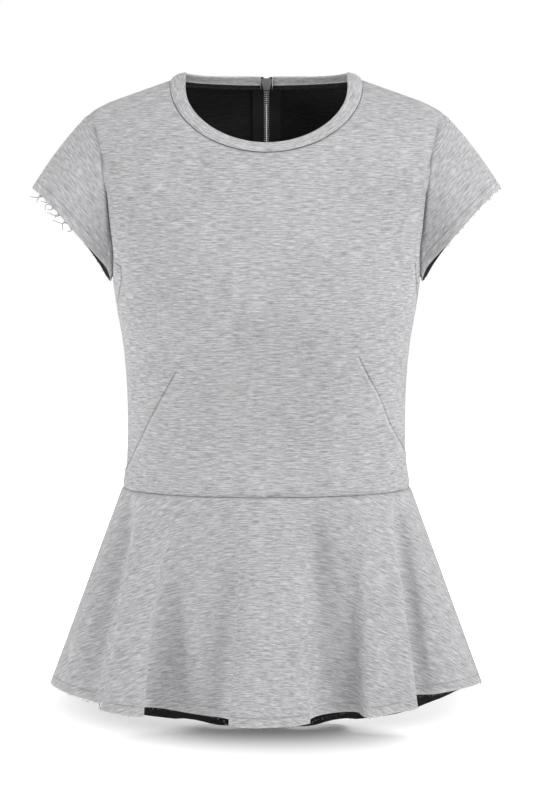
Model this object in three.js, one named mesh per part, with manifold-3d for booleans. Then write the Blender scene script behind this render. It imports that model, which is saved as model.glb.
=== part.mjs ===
// Short-sleeved peplum top with a neck band and a centre-back zip, filled out with no wearer.
// Millimetres. +X is the wearer's left, +Y the back, +Z up.
// The origin is midway between the two points where the neckline meets the shoulders.
import * as THREE from "three";
import Module from "manifold-3d";

const wasm = await Module();
wasm.setup();
const { Manifold } = wasm;

// Cloth and seams.
const WALL = 2.0;
const SEAM_GAP = 0.3;
const BAND_THICKNESS = 3.0;
const BAND_PROUD = 0.5;
const TAPE_THICKNESS = 0.8;

// Heights that the pieces meet at.
const WAIST_Z = -404;
const NECK_FRONT_Z = -70.4;
const NECK_BACK_Z = -6;
const NECK_HALF_WIDTH = 95.3;
const TIP_X = 177.5;
const ARMHOLE_MIDDLE_Z = -115;
const ARMHOLE_HALF_HEIGHT = 81;

// Shoulders.
const SHOULDER_SLOPE = 0.353;
const TIP_ROLL_START = 150;
const TIP_ROLL_DROP = 4.9;
const FRONT_ROLL = 85;
const BACK_ROLL = 60;
const SQUARENESS = 0.85;

// Zip.
const ZIP_EDGE_X = 6.3;
const CHAIN_WIDTH = 5.8;
const CHAIN_THICKNESS = 2.4;
const CHAIN_DEPTH = 2.7;
const CHAIN_TOP_Z = -7.6;
const TAPE_INNER_X = 3.2;
const TAPE_OUTER_X = 14.4;
const TAPE_NECK_X = 5.9;
const TAPE_STEP_Z = -8.3;
const TAPE_TOP_Z = 3.0;
const SLIDER_Z = -1.2;
const SLIDER_LENGTH = 11.5;
const SLIDER_WIDTH = 10.6;
const PLATE_THICKNESS = 1.2;
const PLATE_SPACE = 3.0;
const TAB_LENGTH = 24;
const TAB_WIDTH = 6.4;
const TAB_THICKNESS = 1.2;
const TAB_BAR_RADIUS = 0.7;
const TAB_LIFT = 4.2;
const TAB_CLEARANCE = 0.5;

// Torso sections: height, half width at the side, depth to the front and to the back.
const TORSO = [
  { z: 10, half: 205, front: 66, back: 74 },
  { z: -40, half: 200, front: 74, back: 90 },
  { z: -75, half: 190, front: 83, back: 99 },
  { z: -115, half: 177, front: 96, back: 104 },
  { z: -160, half: 162, front: 113, back: 104 },
  { z: -198, half: 153, front: 122, back: 101 },
  { z: -225, half: 149, front: 124, back: 97 },
  { z: -260, half: 143, front: 118, back: 90 },
  { z: -300, half: 139.5, front: 109, back: 82 },
  { z: -340, half: 138.5, front: 103, back: 78 },
  { z: -375, half: 139.5, front: 102, back: 80 },
  { z: WAIST_Z, half: 144, front: 105, back: 86 },
];

// Armhole seam seen from the front: height and distance from the middle.
const ARMHOLE = [
  { z: -34, x: 177.5 },
  { z: -46, x: 170 },
  { z: -66, x: 163 },
  { z: -84, x: 160 },
  { z: -110, x: 157 },
  { z: -144, x: 154 },
  { z: -169, x: 151.5 },
  { z: -190, x: 152.5 },
  { z: -196, x: 153.3 },
];

// Sleeve hem ring: underarm and tip in the XZ plane, half depth, and how far the
// front is drawn in and the back let out along the ring's axis.
const SLEEVE_UNDERARM = { x: 156, z: -200 };
const SLEEVE_TIP = { x: 233, z: -106 };
const SLEEVE_HALF_DEPTH = 52;
// How far the raw hem lies past the flat ring between its tip and the underarm, by the turn
// from the tip over the front to the underarm and up the back, in degrees.
const SLEEVE_HEM = [
  { turn: 0, past: 0 },
  { turn: 40, past: -4.2 },
  { turn: 65, past: -6.6 },
  { turn: 90, past: -8.0 },
  { turn: 120, past: -9.0 },
  { turn: 140, past: -8.5 },
  { turn: 160, past: -4.5 },
  { turn: 180, past: -1.5 },
  { turn: 205, past: -2.0 },
  { turn: 225, past: -3.0 },
  { turn: 250, past: -2.8 },
  { turn: 275, past: -1.2 },
  { turn: 300, past: -0.5 },
  { turn: 330, past: 0 },
  { turn: 360, past: 0 },
];
const SLEEVE_BULGE = 2.2;

// Peplum hem seen from above, in order round the body from the wearer's right side
// over the front: angle from centre front (negative to the right) and reach.
const HEM_FOLDS = [
  { fold: "right side", angle: -90, reach: 218 },
  { fold: "right side crest", angle: -66.9, reach: 193.5 },
  { fold: "first fold entry", angle: -62.2, reach: 184.3 },
  { fold: "first fold outer edge", angle: -56.1, reach: 193.9 },
  { fold: "first fold inner edge", angle: -43.8, reach: 173.3 },
  { fold: "first fold return", angle: -52.0, reach: 152.0 },
  { fold: "right valley", angle: -21.7, reach: 121.6 },
  { fold: "centre fold entry", angle: -16, reach: 141.5 },
  { fold: "centre fold crest", angle: -7.6, reach: 151.3 },
  { fold: "centre fold edge", angle: 18.4, reach: 139.1 },
  { fold: "centre fold return", angle: 21.2, reach: 129.8 },
  { fold: "left valley", angle: 40.6, reach: 129 },
  { fold: "second fold entry", angle: 38.8, reach: 157.9 },
  { fold: "second fold crest", angle: 48.6, reach: 167.9 },
  { fold: "second fold edge", angle: 55.8, reach: 177.8 },
  { fold: "second fold return", angle: 67.8, reach: 158.8 },
  { fold: "left side trough", angle: 73.6, reach: 177.2 },
  { fold: "left side", angle: 90, reach: 217 },
  { fold: "back crest, left", angle: 119.5, reach: 203 },
  { fold: "back trough, left", angle: 140, reach: 165 },
  { fold: "back fold, left", angle: 155, reach: 195 },
  { fold: "back valley, left", angle: 168, reach: 160 },
  { fold: "centre back crest", angle: 180.5, reach: 186 },
  { fold: "back valley, right", angle: 193, reach: 162 },
  { fold: "back fold, right", angle: 206, reach: 192 },
  { fold: "back trough, right", angle: 220, reach: 167 },
  { fold: "back crest, right", angle: 240, reach: 202 },
];
const HEM_FRONT_SPANS = 17;
const HEM_SIDE_Z = -603;
const HEM_FRONT_DROP = 18;
const HEM_FRONT_POWER = 1.3;
// Height of the back hem below the side hem, by how squarely the hem faces back.
const HEM_BACK = [
  { facing: 0, drop: 0 },
  { facing: 0.25, drop: 14 },
  { facing: 0.5, drop: 37.5 },
  { facing: 0.63, drop: 53 },
  { facing: 0.77, drop: 61.5 },
  { facing: 0.85, drop: 67.5 },
  { facing: 0.91, drop: 71.5 },
  { facing: 1, drop: 75 },
];
const FOLD_GROWTH = 1.2;
const MEAN_HEM = { half: 218, front: 124, back: 178 };

// Grid sizes.
const NECK_FRONT_STEPS = 8;
const NECK_BACK_STEPS = 6;
const SHOULDER_STEPS = 3;
const ARMHOLE_HALF_STEPS = 8;
const BODICE_ROWS = 15;
const ROW_EASE = 1.8;
const SLEEVE_ROWS = 4;
const PEPLUM_FRONT_STEPS = 66;
const PEPLUM_BACK_STEPS = 54;
const PEPLUM_ROWS = 6;

const CLOTH = { color: 0xbebec0, roughness: 0.95, metalness: 0.0 };
const TAPE = { color: 0x202022, roughness: 0.85, metalness: 0.0 };
const METAL = { color: 0xc4c6c8, roughness: 0.32, metalness: 1.0 };

const rad = THREE.MathUtils.degToRad;
const lerp = THREE.MathUtils.lerp;

// Smooth curve through table rows sorted by their key, with the slopes kept between neighbours.
function tableCurve(rows, column, key = "z") {
  const sorted = [...rows].sort((a, b) => a[key] - b[key]);
  const slopes = sorted.map((row, i) => {
    const before = sorted[Math.max(0, i - 1)];
    const after = sorted[Math.min(sorted.length - 1, i + 1)];
    return (after[column] - before[column]) / (after[key] - before[key]);
  });
  return (at) => {
    const last = sorted.length - 2;
    let i = 0;
    while (i < last && at > sorted[i + 1][key]) i += 1;
    const a = sorted[i];
    const b = sorted[i + 1];
    const span = b[key] - a[key];
    const t = THREE.MathUtils.clamp((at - a[key]) / span, 0, 1);
    const rise = b[column] - a[column];
    const bend = (1 - t) * (slopes[i] * span - rise) - t * (slopes[i + 1] * span - rise);
    return a[column] + rise * t + t * (1 - t) * bend;
  };
}

const bodyHalf = tableCurve(TORSO, "half");
const bodyFront = tableCurve(TORSO, "front");
const bodyBack = tableCurve(TORSO, "back");
const armholeX = tableCurve(ARMHOLE, "x");
const sleeveHemShift = tableCurve(SLEEVE_HEM, "past", "turn");
const backHemDrop = tableCurve(HEM_BACK, "drop", "facing");

// Height of the shoulder line at a distance from the middle.
function ridgeHeight(x) {
  const reach = Math.abs(x);
  const past = Math.max(0, reach - TIP_ROLL_START) / (TIP_X - TIP_ROLL_START);
  return -(reach - NECK_HALF_WIDTH) * SHOULDER_SLOPE - TIP_ROLL_DROP * past * past;
}

// Share of the full depth at a distance below the shoulder line.
function shoulderRound(below) {
  if (below < 1e-7) return 0;
  if (below >= 1) return 1;
  return Math.sqrt(1 - (1 - below) ** 2);
}

// Outer face of the bodice: angle from centre front, and height.
function bodyPoint(angle, z) {
  const x = bodyHalf(z) * Math.sin(angle);
  const c = Math.cos(angle);
  const depth = c >= 0 ? bodyFront(z) : bodyBack(z);
  const roll = c >= 0 ? FRONT_ROLL : BACK_ROLL;
  const share = shoulderRound((ridgeHeight(x) - z) / roll);
  return new THREE.Vector3(x, -Math.sign(c) * depth * Math.abs(c) ** SQUARENESS * share, z);
}

// Outward normal of the bodice; straight up off the slope on the shoulder line itself.
function bodyNormal(angle, z) {
  const x = bodyHalf(z) * Math.sin(angle);
  if (ridgeHeight(x) - z < 0.05) {
    const slope = (ridgeHeight(x + 0.1) - ridgeHeight(x - 0.1)) / 0.2;
    return new THREE.Vector3(-slope, 0, 1).normalize();
  }
  const across = bodyPoint(angle + 2e-3, z).sub(bodyPoint(angle - 2e-3, z));
  const along = bodyPoint(angle, z + 0.02).sub(bodyPoint(angle, z - 0.02));
  return across.cross(along).normalize();
}

// Angle from centre front of a point at a distance from the middle, on the front or back half.
function angleAt(x, z, back) {
  const angle = Math.asin(THREE.MathUtils.clamp(x / bodyHalf(z), -1, 1));
  return back ? Math.PI - angle : angle;
}

// Armhole seam on the wearer's left: turn 0 at the shoulder tip, over the front to the
// underarm at half a turn, and back up behind.
function armhole(turn) {
  const z = ARMHOLE_MIDDLE_Z + ARMHOLE_HALF_HEIGHT * Math.cos(turn);
  const x = turn === 0 ? TIP_X : armholeX(z);
  const behind = turn > Math.PI;
  const angle = Math.abs(turn - Math.PI) < 1e-6 ? Math.PI / 2 : angleAt(x, z, behind);
  return { angle, z: turn === 0 ? ridgeHeight(TIP_X) : z };
}

// Neckline seam on the wearer's left: turn 0 at centre front, a quarter turn at the
// shoulder, and half a turn at centre back.
function neckline(turn, behind = turn > Math.PI / 2) {
  const x = NECK_HALF_WIDTH * Math.sin(turn);
  const drop = behind ? NECK_BACK_Z : NECK_FRONT_Z;
  const z = drop * Math.abs(Math.cos(turn));
  return { angle: angleAt(x, z, behind), z };
}

// Turns of the seam points that neighbouring pieces share.
const NECK_BACK_END = Math.PI - Math.asin(ZIP_EDGE_X / NECK_HALF_WIDTH);
const neckFrontTurns = steps(0, Math.PI / 2, NECK_FRONT_STEPS);
const neckBackTurns = steps(Math.PI / 2, NECK_BACK_END, NECK_BACK_STEPS);
const armFrontTurns = steps(0, Math.PI, ARMHOLE_HALF_STEPS);
const armBackTurns = steps(Math.PI, 2 * Math.PI, ARMHOLE_HALF_STEPS);

function steps(from, to, count) {
  return Array.from({ length: count + 1 }, (_, i) => lerp(from, to, i / count));
}

function rowShares() {
  return steps(0, 1, BODICE_ROWS).map((v) => 1 - (1 - v) ** ROW_EASE);
}

// Sleeve hem ring on the wearer's left, in the same turns as the armhole.
function sleeveHem(turn) {
  const middle = new THREE.Vector3(
    (SLEEVE_UNDERARM.x + SLEEVE_TIP.x) / 2, 0, (SLEEVE_UNDERARM.z + SLEEVE_TIP.z) / 2);
  const half = new THREE.Vector3(SLEEVE_TIP.x - middle.x, 0, SLEEVE_TIP.z - middle.z);
  const outward = new THREE.Vector3(-half.z, 0, half.x).negate().normalize();
  const front = Math.sin(turn);
  const shift = sleeveHemShift(THREE.MathUtils.radToDeg(turn));
  return middle
    .addScaledVector(half, Math.cos(turn))
    .addScaledVector(outward, shift)
    .add(new THREE.Vector3(0, -SLEEVE_HALF_DEPTH * front, 0));
}

// Outer face of the sleeve: turn round the armhole, and share of the way to the hem.
function sleevePoint(turn, share) {
  const seam = armhole(turn);
  const start = bodyPoint(seam.angle, seam.z);
  const end = sleeveHem(turn);
  const point = start.clone().lerp(end, share);
  const lift = SLEEVE_BULGE * Math.sin(Math.PI * share) * Math.max(0, Math.cos(turn));
  return point.add(new THREE.Vector3(0.6 * lift, 0, lift));
}

function sleeveNormal(turn, share) {
  const t = turn === 0 ? 1e-3 : turn;
  const around = sleevePoint(t + 2e-3, share).sub(sleevePoint(t - 1e-3, share));
  const along = sleevePoint(t, Math.min(1, share + 0.01)).sub(sleevePoint(t, Math.max(0, share - 0.01)));
  return around.cross(along).normalize();
}

// Mitre direction where the sleeve meets the bodice.
function armholeMitre(turn) {
  const seam = armhole(turn);
  const body = bodyNormal(seam.angle, seam.z);
  const sleeve = sleeveNormal(turn, 0.05);
  const mitre = body.clone().add(sleeve).normalize();
  return mitre.multiplyScalar(Math.min(1.5, 1 / Math.max(0.5, mitre.dot(body))));
}

// Peplum hem in plan, closed through the fold table.
const hemCurve = new THREE.CatmullRomCurve3(
  HEM_FOLDS.map(({ angle, reach }) =>
    new THREE.Vector3(reach * Math.sin(rad(angle)), -reach * Math.cos(rad(angle)), 0)),
  true, "centripetal");

// Points of the hem curve at even spacing between two of its table rows.
function hemTable(fromSpan, toSpan) {
  const fine = steps(fromSpan, toSpan, 1600).map((s) => hemCurve.getPoint(s / HEM_FOLDS.length));
  const lengths = [0];
  for (let i = 1; i < fine.length; i += 1) {
    lengths.push(lengths[i - 1] + fine[i].distanceTo(fine[i - 1]));
  }
  return (share) => {
    const want = THREE.MathUtils.clamp(share, 0, 1) * lengths.at(-1);
    let low = 0;
    let high = lengths.length - 1;
    while (high - low > 1) {
      const middle = (low + high) >> 1;
      if (lengths[middle] > want) high = middle;
      else low = middle;
    }
    const part = (want - lengths[low]) / (lengths[high] - lengths[low]);
    return fine[low].clone().lerp(fine[high], part);
  };
}

const hemFront = hemTable(0, HEM_FRONT_SPANS);
const hemBack = hemTable(HEM_FRONT_SPANS, HEM_FOLDS.length);

// Outer face of the peplum: share round the front or back half, and share of the way down.
function peplumPoint(back, round, down) {
  const angle = back ? rad(90 + 180 * round) : rad(-90 + 180 * round);
  const waist = bodyPoint(angle, WAIST_Z);
  const hem = (back ? hemBack : hemFront)(round);
  const c = Math.cos(angle);
  const mean = new THREE.Vector3(
    MEAN_HEM.half * Math.sin(angle), -c * (back ? MEAN_HEM.back : MEAN_HEM.front), 0);
  const facing = Math.abs(hem.y) / Math.hypot(hem.x, hem.y);
  const drop = back ? backHemDrop(facing) : HEM_FRONT_DROP * facing ** HEM_FRONT_POWER;
  const x = lerp(waist.x, mean.x, down) + (hem.x - mean.x) * down ** FOLD_GROWTH;
  const y = lerp(waist.y, mean.y, down) + (hem.y - mean.y) * down ** FOLD_GROWTH;
  return new THREE.Vector3(x, y, lerp(WAIST_Z, HEM_SIDE_Z - drop, down));
}

function peplumNormal(back, round, down) {
  const a = Math.max(0, round - 0.002);
  const b = Math.min(1, round + 0.002);
  const d = Math.max(0.03, down);
  const around = peplumPoint(back, b, d).sub(peplumPoint(back, a, d));
  const along = peplumPoint(back, round, Math.min(1, d + 0.01)).sub(peplumPoint(back, round, d - 0.01));
  return along.cross(around).normalize();
}

// Closed body from rings of points, each ring the same length, wrapped or capped.
function bodyFromGrid(grid, closedRings, closedAlong) {
  const rows = grid.length;
  const ring = grid[0].length;
  const index = [];
  const at = (i, j) => (i % rows) * ring + (j % ring);
  const rowCells = closedAlong ? rows : rows - 1;
  const ringCells = closedRings ? ring : ring - 1;
  for (let i = 0; i < rowCells; i += 1) {
    for (let j = 0; j < ringCells; j += 1) {
      index.push(at(i, j), at(i + 1, j), at(i + 1, j + 1));
      index.push(at(i, j), at(i + 1, j + 1), at(i, j + 1));
    }
  }
  if (closedRings && !closedAlong) {
    for (let j = 1; j < ring - 1; j += 1) {
      index.push(at(0, 0), at(0, j), at(0, j + 1));
      index.push(at(rows - 1, 0), at(rows - 1, j + 1), at(rows - 1, j));
    }
  }
  return facingOut(grid.flat(), index);
}

function facingOut(points, index) {
  let volume = 0;
  for (let k = 0; k < index.length; k += 3) {
    const [a, b, c] = [points[index[k]], points[index[k + 1]], points[index[k + 2]]];
    volume += a.dot(b.clone().cross(c)) / 6;
  }
  const order = volume > 0 ? index : index.slice().reverse();
  const geometry = new THREE.BufferGeometry();
  geometry.setAttribute("position", new THREE.Float32BufferAttribute(points.flatMap((p) => [p.x, p.y, p.z]), 3));
  geometry.setIndex(order);
  geometry.computeVertexNormals();
  return geometry;
}

// Wall between an outer grid and its offset inwards; each grid node is { point, offset },
// offset being the outward direction times any mitre stretch.
function wallSections(grid, thickness, seams) {
  const rows = grid.length;
  const columns = grid[0].length;
  const outer = grid.map((row) => row.map(({ point }) => point.clone()));
  const inner = grid.map((row) => row.map(({ point, offset }) =>
    point.clone().addScaledVector(offset, -thickness)));
  const edges = [
    [seams.bottom, grid[0].map((_, j) => [0, j]), [1, 0]],
    [seams.top, grid[0].map((_, j) => [rows - 1, j]), [-1, 0]],
    [seams.left, grid.map((_, i) => [i, 0]), [0, 1]],
    [seams.right, grid.map((_, i) => [i, columns - 1]), [0, -1]],
  ];
  for (const [sewn, nodes, [di, dj]] of edges) {
    if (!sewn) continue;
    const moves = nodes.map(([i, j], k) => {
      const [bi, bj] = nodes[Math.max(0, k - 1)];
      const [ai, aj] = nodes[Math.min(nodes.length - 1, k + 1)];
      const tangent = grid[ai][aj].point.clone().sub(grid[bi][bj].point);
      return tangent.cross(grid[i][j].offset).normalize();
    });
    const inward = moves.reduce((sum, move, k) => {
      const [i, j] = nodes[k];
      return sum + move.dot(grid[i + di][j + dj].point.clone().sub(grid[i][j].point).normalize());
    }, 0);
    nodes.forEach(([i, j], k) => {
      const distance = Math.sign(inward) * SEAM_GAP / 2;
      outer[i][j].addScaledVector(moves[k], distance);
      inner[i][j].addScaledVector(moves[k], distance);
    });
  }
  return outer.map((row, i) => [...row, ...inner[i].slice().reverse()]);
}

// A wall whose rows run between two free or sewn edges: its sections are closed rings.
// The strip of cells between the outer and inner rows at the ends is triangulated pairwise.
function wallBody(grid, thickness, seams) {
  const sections = wallSections(grid, thickness, seams);
  const ring = sections[0].length;
  const columns = ring / 2;
  const index = [];
  const at = (i, j) => i * ring + (j % ring);
  for (let i = 0; i < sections.length - 1; i += 1) {
    for (let j = 0; j < ring; j += 1) {
      index.push(at(i, j), at(i + 1, j), at(i + 1, j + 1));
      index.push(at(i, j), at(i + 1, j + 1), at(i, j + 1));
    }
  }
  const last = sections.length - 1;
  for (let j = 0; j < columns - 1; j += 1) {
    const other = ring - 1 - j;
    index.push(at(0, j), at(0, j + 1), at(0, other - 1));
    index.push(at(0, j), at(0, other - 1), at(0, other));
    index.push(at(last, j + 1), at(last, j), at(last, other - 1));
    index.push(at(last, j), at(last, other), at(last, other - 1));
  }
  return facingOut(sections.flat(), index);
}

// A wall that closes on itself: the outer and inner rings joined at both rims.
function tubeBody(grid, thickness, seams) {
  const rows = grid.length;
  const columns = grid[0].length;
  const outer = grid.map((row) => row.map(({ point }) => point.clone()));
  const inner = grid.map((row) => row.map(({ point, offset }) =>
    point.clone().addScaledVector(offset, -thickness)));
  for (const [i, next, sewn] of [[0, 1, seams.bottom], [rows - 1, rows - 2, seams.top]]) {
    if (!sewn) continue;
    for (let j = 0; j < columns; j += 1) {
      const before = grid[i][(j + columns - 1) % columns].point;
      const after = grid[i][(j + 1) % columns].point;
      const step = after.clone().sub(before).cross(grid[i][j].offset).normalize();
      if (step.dot(grid[next][j].point.clone().sub(grid[i][j].point)) < 0) step.negate();
      outer[i][j].addScaledVector(step, SEAM_GAP / 2);
      inner[i][j].addScaledVector(step, SEAM_GAP / 2);
    }
  }
  return bodyFromGrid([...outer, ...inner.reverse()], true, true);
}

// Bodice seams are mirrored: side is 1 for the wearer's left and -1 for the right.
function mirrored(node, side) {
  const flip = new THREE.Vector3(side, 1, 1);
  return { point: node.point.clone().multiply(flip), offset: node.offset.clone().multiply(flip) };
}

// One column of the front bodice on the wearer's left, from the waist to the top edge.
function frontColumn({ top, foot, offset }) {
  return rowShares().map((share, i, all) => {
    const z = lerp(WAIST_Z, top.z, share);
    const angle = lerp(foot, top.angle, share);
    const last = i === all.length - 1;
    const normal = last && offset ? offset : bodyNormal(angle, z);
    return { point: bodyPoint(angle, z), offset: i === 0 ? levelOffset(angle, z) : normal };
  });
}

// One column of a back bodice; the first keeps its distance from the zip.
function backColumn({ top, foot, offset, fixedX }) {
  return rowShares().map((share, i, all) => {
    const z = lerp(WAIST_Z, top.z, share);
    const angle = fixedX ? angleAt(fixedX, z, true) : lerp(foot, top.angle, share);
    const last = i === all.length - 1;
    const normal = last && offset ? offset : bodyNormal(angle, z);
    return { point: bodyPoint(angle, z), offset: i === 0 ? levelOffset(angle, z) : normal };
  });
}

// Level direction across the wall at the waist seam.
function levelOffset(angle, z) {
  const normal = bodyNormal(angle, z);
  return new THREE.Vector3(normal.x, normal.y, 0).normalize();
}

function frontBodice() {
  const half = [];
  const shoulderXs = steps(NECK_HALF_WIDTH, TIP_X, SHOULDER_STEPS);
  neckFrontTurns.forEach((turn) => half.push({ top: neckline(turn), foot: rad(34 * turn / (Math.PI / 2)) }));
  shoulderXs.slice(1).forEach((x, k) => {
    const z = ridgeHeight(x);
    const top = { angle: angleAt(x, z, false), z };
    const mitre = k === SHOULDER_STEPS - 1 ? armholeMitre(0) : undefined;
    half.push({ top, foot: rad(lerp(34, 60, (k + 1) / SHOULDER_STEPS)), offset: mitre });
  });
  armFrontTurns.slice(1).forEach((turn, k) => {
    const share = (k + 1) / ARMHOLE_HALF_STEPS;
    half.push({ top: armhole(turn), foot: rad(lerp(60, 90, share)), offset: armholeMitre(turn) });
  });
  const columns = half.map(frontColumn);
  const right = columns.slice(1).reverse().map((column) => column.map((node) => mirrored(node, -1)));
  const all = [...right, ...columns];
  const grid = transpose(all);
  return wallBody(grid, WALL, { top: true, bottom: true, left: true, right: true });
}

function backBodice(side) {
  const columns = [];
  const neck = neckBackTurns.slice().reverse();
  neck.forEach((turn, k) => {
    const foot = lerp(Math.PI - Math.asin(ZIP_EDGE_X / bodyHalf(WAIST_Z)), rad(146), k / NECK_BACK_STEPS);
    columns.push({ top: neckline(turn, true), foot, fixedX: k === 0 ? ZIP_EDGE_X : 0 });
  });
  steps(NECK_HALF_WIDTH, TIP_X, SHOULDER_STEPS).slice(1).forEach((x, k) => {
    const z = ridgeHeight(x);
    const mitre = k === SHOULDER_STEPS - 1 ? armholeMitre(0) : undefined;
    const foot = rad(lerp(146, 122, (k + 1) / SHOULDER_STEPS));
    columns.push({ top: { angle: angleAt(x, z, true), z }, foot, offset: mitre });
  });
  armBackTurns.slice(0, -1).reverse().forEach((turn, k) => {
    const foot = rad(lerp(122, 90, (k + 1) / ARMHOLE_HALF_STEPS));
    columns.push({ top: armhole(turn), foot, offset: armholeMitre(turn) });
  });
  const grid = transpose(columns.map(backColumn).map((column) => column.map((node) => mirrored(node, side))));
  return wallBody(grid, WALL, { top: true, bottom: true, left: false, right: true });
}

function transpose(columns) {
  return columns[0].map((_, i) => columns.map((column) => column[i]));
}

function sleeve(side) {
  const turns = [...armFrontTurns, ...armBackTurns.slice(1, -1)];
  const grid = steps(0, 1, SLEEVE_ROWS).map((share, i) => turns.map((turn) => {
    const offset = i === 0 ? armholeMitre(turn) : sleeveNormal(turn, share);
    return mirrored({ point: sleevePoint(turn, share), offset }, side);
  }));
  return tubeBody(grid, WALL, { bottom: true, top: false });
}

// Folded neck band: its section rises from the neckline seam and leans over the opening.
function neckBand() {
  const left = [...neckFrontTurns, ...neckBackTurns.slice(1)];
  const turns = [...left.slice(1).reverse().map((turn) => -turn), ...left];
  const seam = turns.map((turn) => bandSeam(turn));
  const half = BAND_THICKNESS / 2;
  const sections = turns.map((turn, k) => {
    const { point, normal } = seam[k];
    const before = seam[Math.max(0, k - 1)].point;
    const after = seam[Math.min(seam.length - 1, k + 1)].point;
    const tangent = after.clone().sub(before).normalize();
    const rise = bandRise(turn);
    if (k === 0 || k === turns.length - 1) {
      tangent.set(1, 0, 0);
      rise.x = 0;
    }
    const face = tangent.clone().cross(rise).normalize();
    if (face.dot(normal) < 0) face.negate();
    const away = tangent.clone().cross(normal).normalize();
    if (away.dot(rise) < 0) away.negate();
    const length = rise.length();
    const up = rise.clone().normalize();
    const root = point.clone().addScaledVector(normal, BAND_PROUD - half);
    const corner = (along, out) => root.clone()
      .addScaledVector(up, along)
      .addScaledVector(face, out);
    const foot = point.clone().addScaledVector(away, SEAM_GAP / 2);
    const soft = half * Math.SQRT1_2;
    return [
      foot.clone().addScaledVector(normal, BAND_PROUD),
      corner(length - half, half),
      corner(length - half + soft, soft),
      corner(length, 0),
      corner(length - half + soft, -soft),
      corner(length - half, -half),
      foot.clone().addScaledVector(normal, BAND_PROUD - BAND_THICKNESS),
    ];
  });
  return bodyFromGrid(sections, true, false);
}

function bandSeam(turn) {
  const seam = neckline(Math.abs(turn));
  const node = { point: bodyPoint(seam.angle, seam.z), offset: bodyNormal(seam.angle, seam.z) };
  const placed = mirrored(node, turn < 0 ? -1 : 1);
  return { point: placed.point, normal: placed.offset };
}

// From the neckline seam to the top of the fold.
function bandRise(turn) {
  const across = Math.sin(turn);
  const facing = Math.cos(turn) ** 2;
  const front = Math.cos(turn) > 0;
  const lean = front ? 6 * facing : -3 * facing;
  const lift = front ? 7.5 + 1.9 * facing : 7.5 + 4.3 * facing;
  return new THREE.Vector3(-11.1 * across, lean, lift);
}

function peplum(back) {
  const count = back ? PEPLUM_BACK_STEPS : PEPLUM_FRONT_STEPS;
  const grid = steps(0, 1, PEPLUM_ROWS).map((down, i) => steps(0, 1, count).map((round) => {
    const point = peplumPoint(back, round, down);
    const normal = peplumNormal(back, round, down);
    const angle = back ? rad(90 + 180 * round) : rad(-90 + 180 * round);
    return { point, offset: i === 0 ? levelOffset(angle, WAIST_Z) : normal };
  }));
  return wallBody(grid, WALL, { bottom: true, top: false, left: true, right: true });
}

// Line of the zip at the back, above the seam following the band.
function zipPath(z) {
  if (z <= NECK_BACK_Z) {
    const angle = Math.PI;
    return { point: bodyPoint(angle, z), normal: bodyNormal(angle, z) };
  }
  const seam = bodyPoint(Math.PI, NECK_BACK_Z);
  const rise = bandRise(Math.PI).normalize();
  const point = seam.addScaledVector(rise, (z - NECK_BACK_Z) / rise.z);
  return { point, normal: new THREE.Vector3(0, rise.z, -rise.y) };
}

// Outer face of the body at a small distance from the zip.
function besideZip(x, z) {
  if (z > NECK_BACK_Z) {
    const { point, normal } = zipPath(z);
    return { point: point.add(new THREE.Vector3(x, 0, 0)), normal };
  }
  const angle = angleAt(x, z, true);
  return { point: bodyPoint(angle, z), normal: zipPath(z).normal };
}

function zipRows(top) {
  const seamRows = rowShares().map((share) => lerp(WAIST_Z, NECK_BACK_Z, share));
  return [WAIST_Z + 1.2, ...seamRows.slice(1).filter((z) => z < top - 1)];
}

function zipTape(side) {
  const rows = zipRows(TAPE_STEP_Z).map((z) => ({ z, out: TAPE_OUTER_X }));
  rows.push({ z: TAPE_STEP_Z, out: TAPE_OUTER_X });
  rows.push({ z: TAPE_STEP_Z + 0.4, out: TAPE_NECK_X });
  rows.push({ z: NECK_BACK_Z, out: TAPE_NECK_X });
  rows.push({ z: TAPE_TOP_Z, out: TAPE_NECK_X });
  const grid = rows.map(({ z, out }) => [TAPE_INNER_X, out].map((x) => {
    const { point, normal } = besideZip(x, z);
    return mirrored({ point: point.addScaledVector(normal, -WALL - SEAM_GAP), offset: normal }, side);
  }));
  return wallBody(grid, TAPE_THICKNESS, {});
}

function zipChain() {
  const rows = [...zipRows(CHAIN_TOP_Z), CHAIN_TOP_Z];
  const grid = rows.map((z) => [-CHAIN_WIDTH / 2, CHAIN_WIDTH / 2].map((x) => {
    const { point, normal } = zipPath(z);
    const lift = CHAIN_THICKNESS / 2 - CHAIN_DEPTH;
    return { point: point.addScaledVector(normal, lift).add(new THREE.Vector3(x, 0, 0)), offset: normal };
  }));
  return wallBody(grid, CHAIN_THICKNESS, {});
}

// Frame of the slider: x across, y up the zip, z outwards, about the chain's middle plane.
function sliderFrame() {
  const { point, normal } = zipPath(SLIDER_Z);
  const up = normal.clone().cross(new THREE.Vector3(1, 0, 0)).normalize();
  if (up.z < 0) up.negate();
  const across = up.clone().cross(normal);
  const centre = point.addScaledVector(normal, -CHAIN_DEPTH);
  return new THREE.Matrix4().makeBasis(across, up, normal).setPosition(centre);
}

function box(x0, x1, y0, y1, z0, z1) {
  return Manifold.cube([x1 - x0, y1 - y0, z1 - z0]).translate([x0, y0, z0]);
}

// Shield-shaped plate of the slider, wide at the top.
function shieldPlate(z0) {
  const half = SLIDER_WIDTH / 2;
  const end = SLIDER_LENGTH / 2;
  const outline = [
    [-0.9, end - 1.6], [-2.4, end - 0.3], [-4.3, end], [-half, end - 1.2], [-half, end - 4.2],
    [-3.4, -end + 2.2], [-3.1, -end + 0.4], [-2.5, -end],
    [2.5, -end], [3.1, -end + 0.4], [3.4, -end + 2.2], [half, end - 4.2],
    [half, end - 1.2], [4.3, end], [2.4, end - 0.3], [0.9, end - 1.6],
  ];
  return Manifold.extrude([outline], PLATE_THICKNESS).translate([0, 0, z0]);
}

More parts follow.
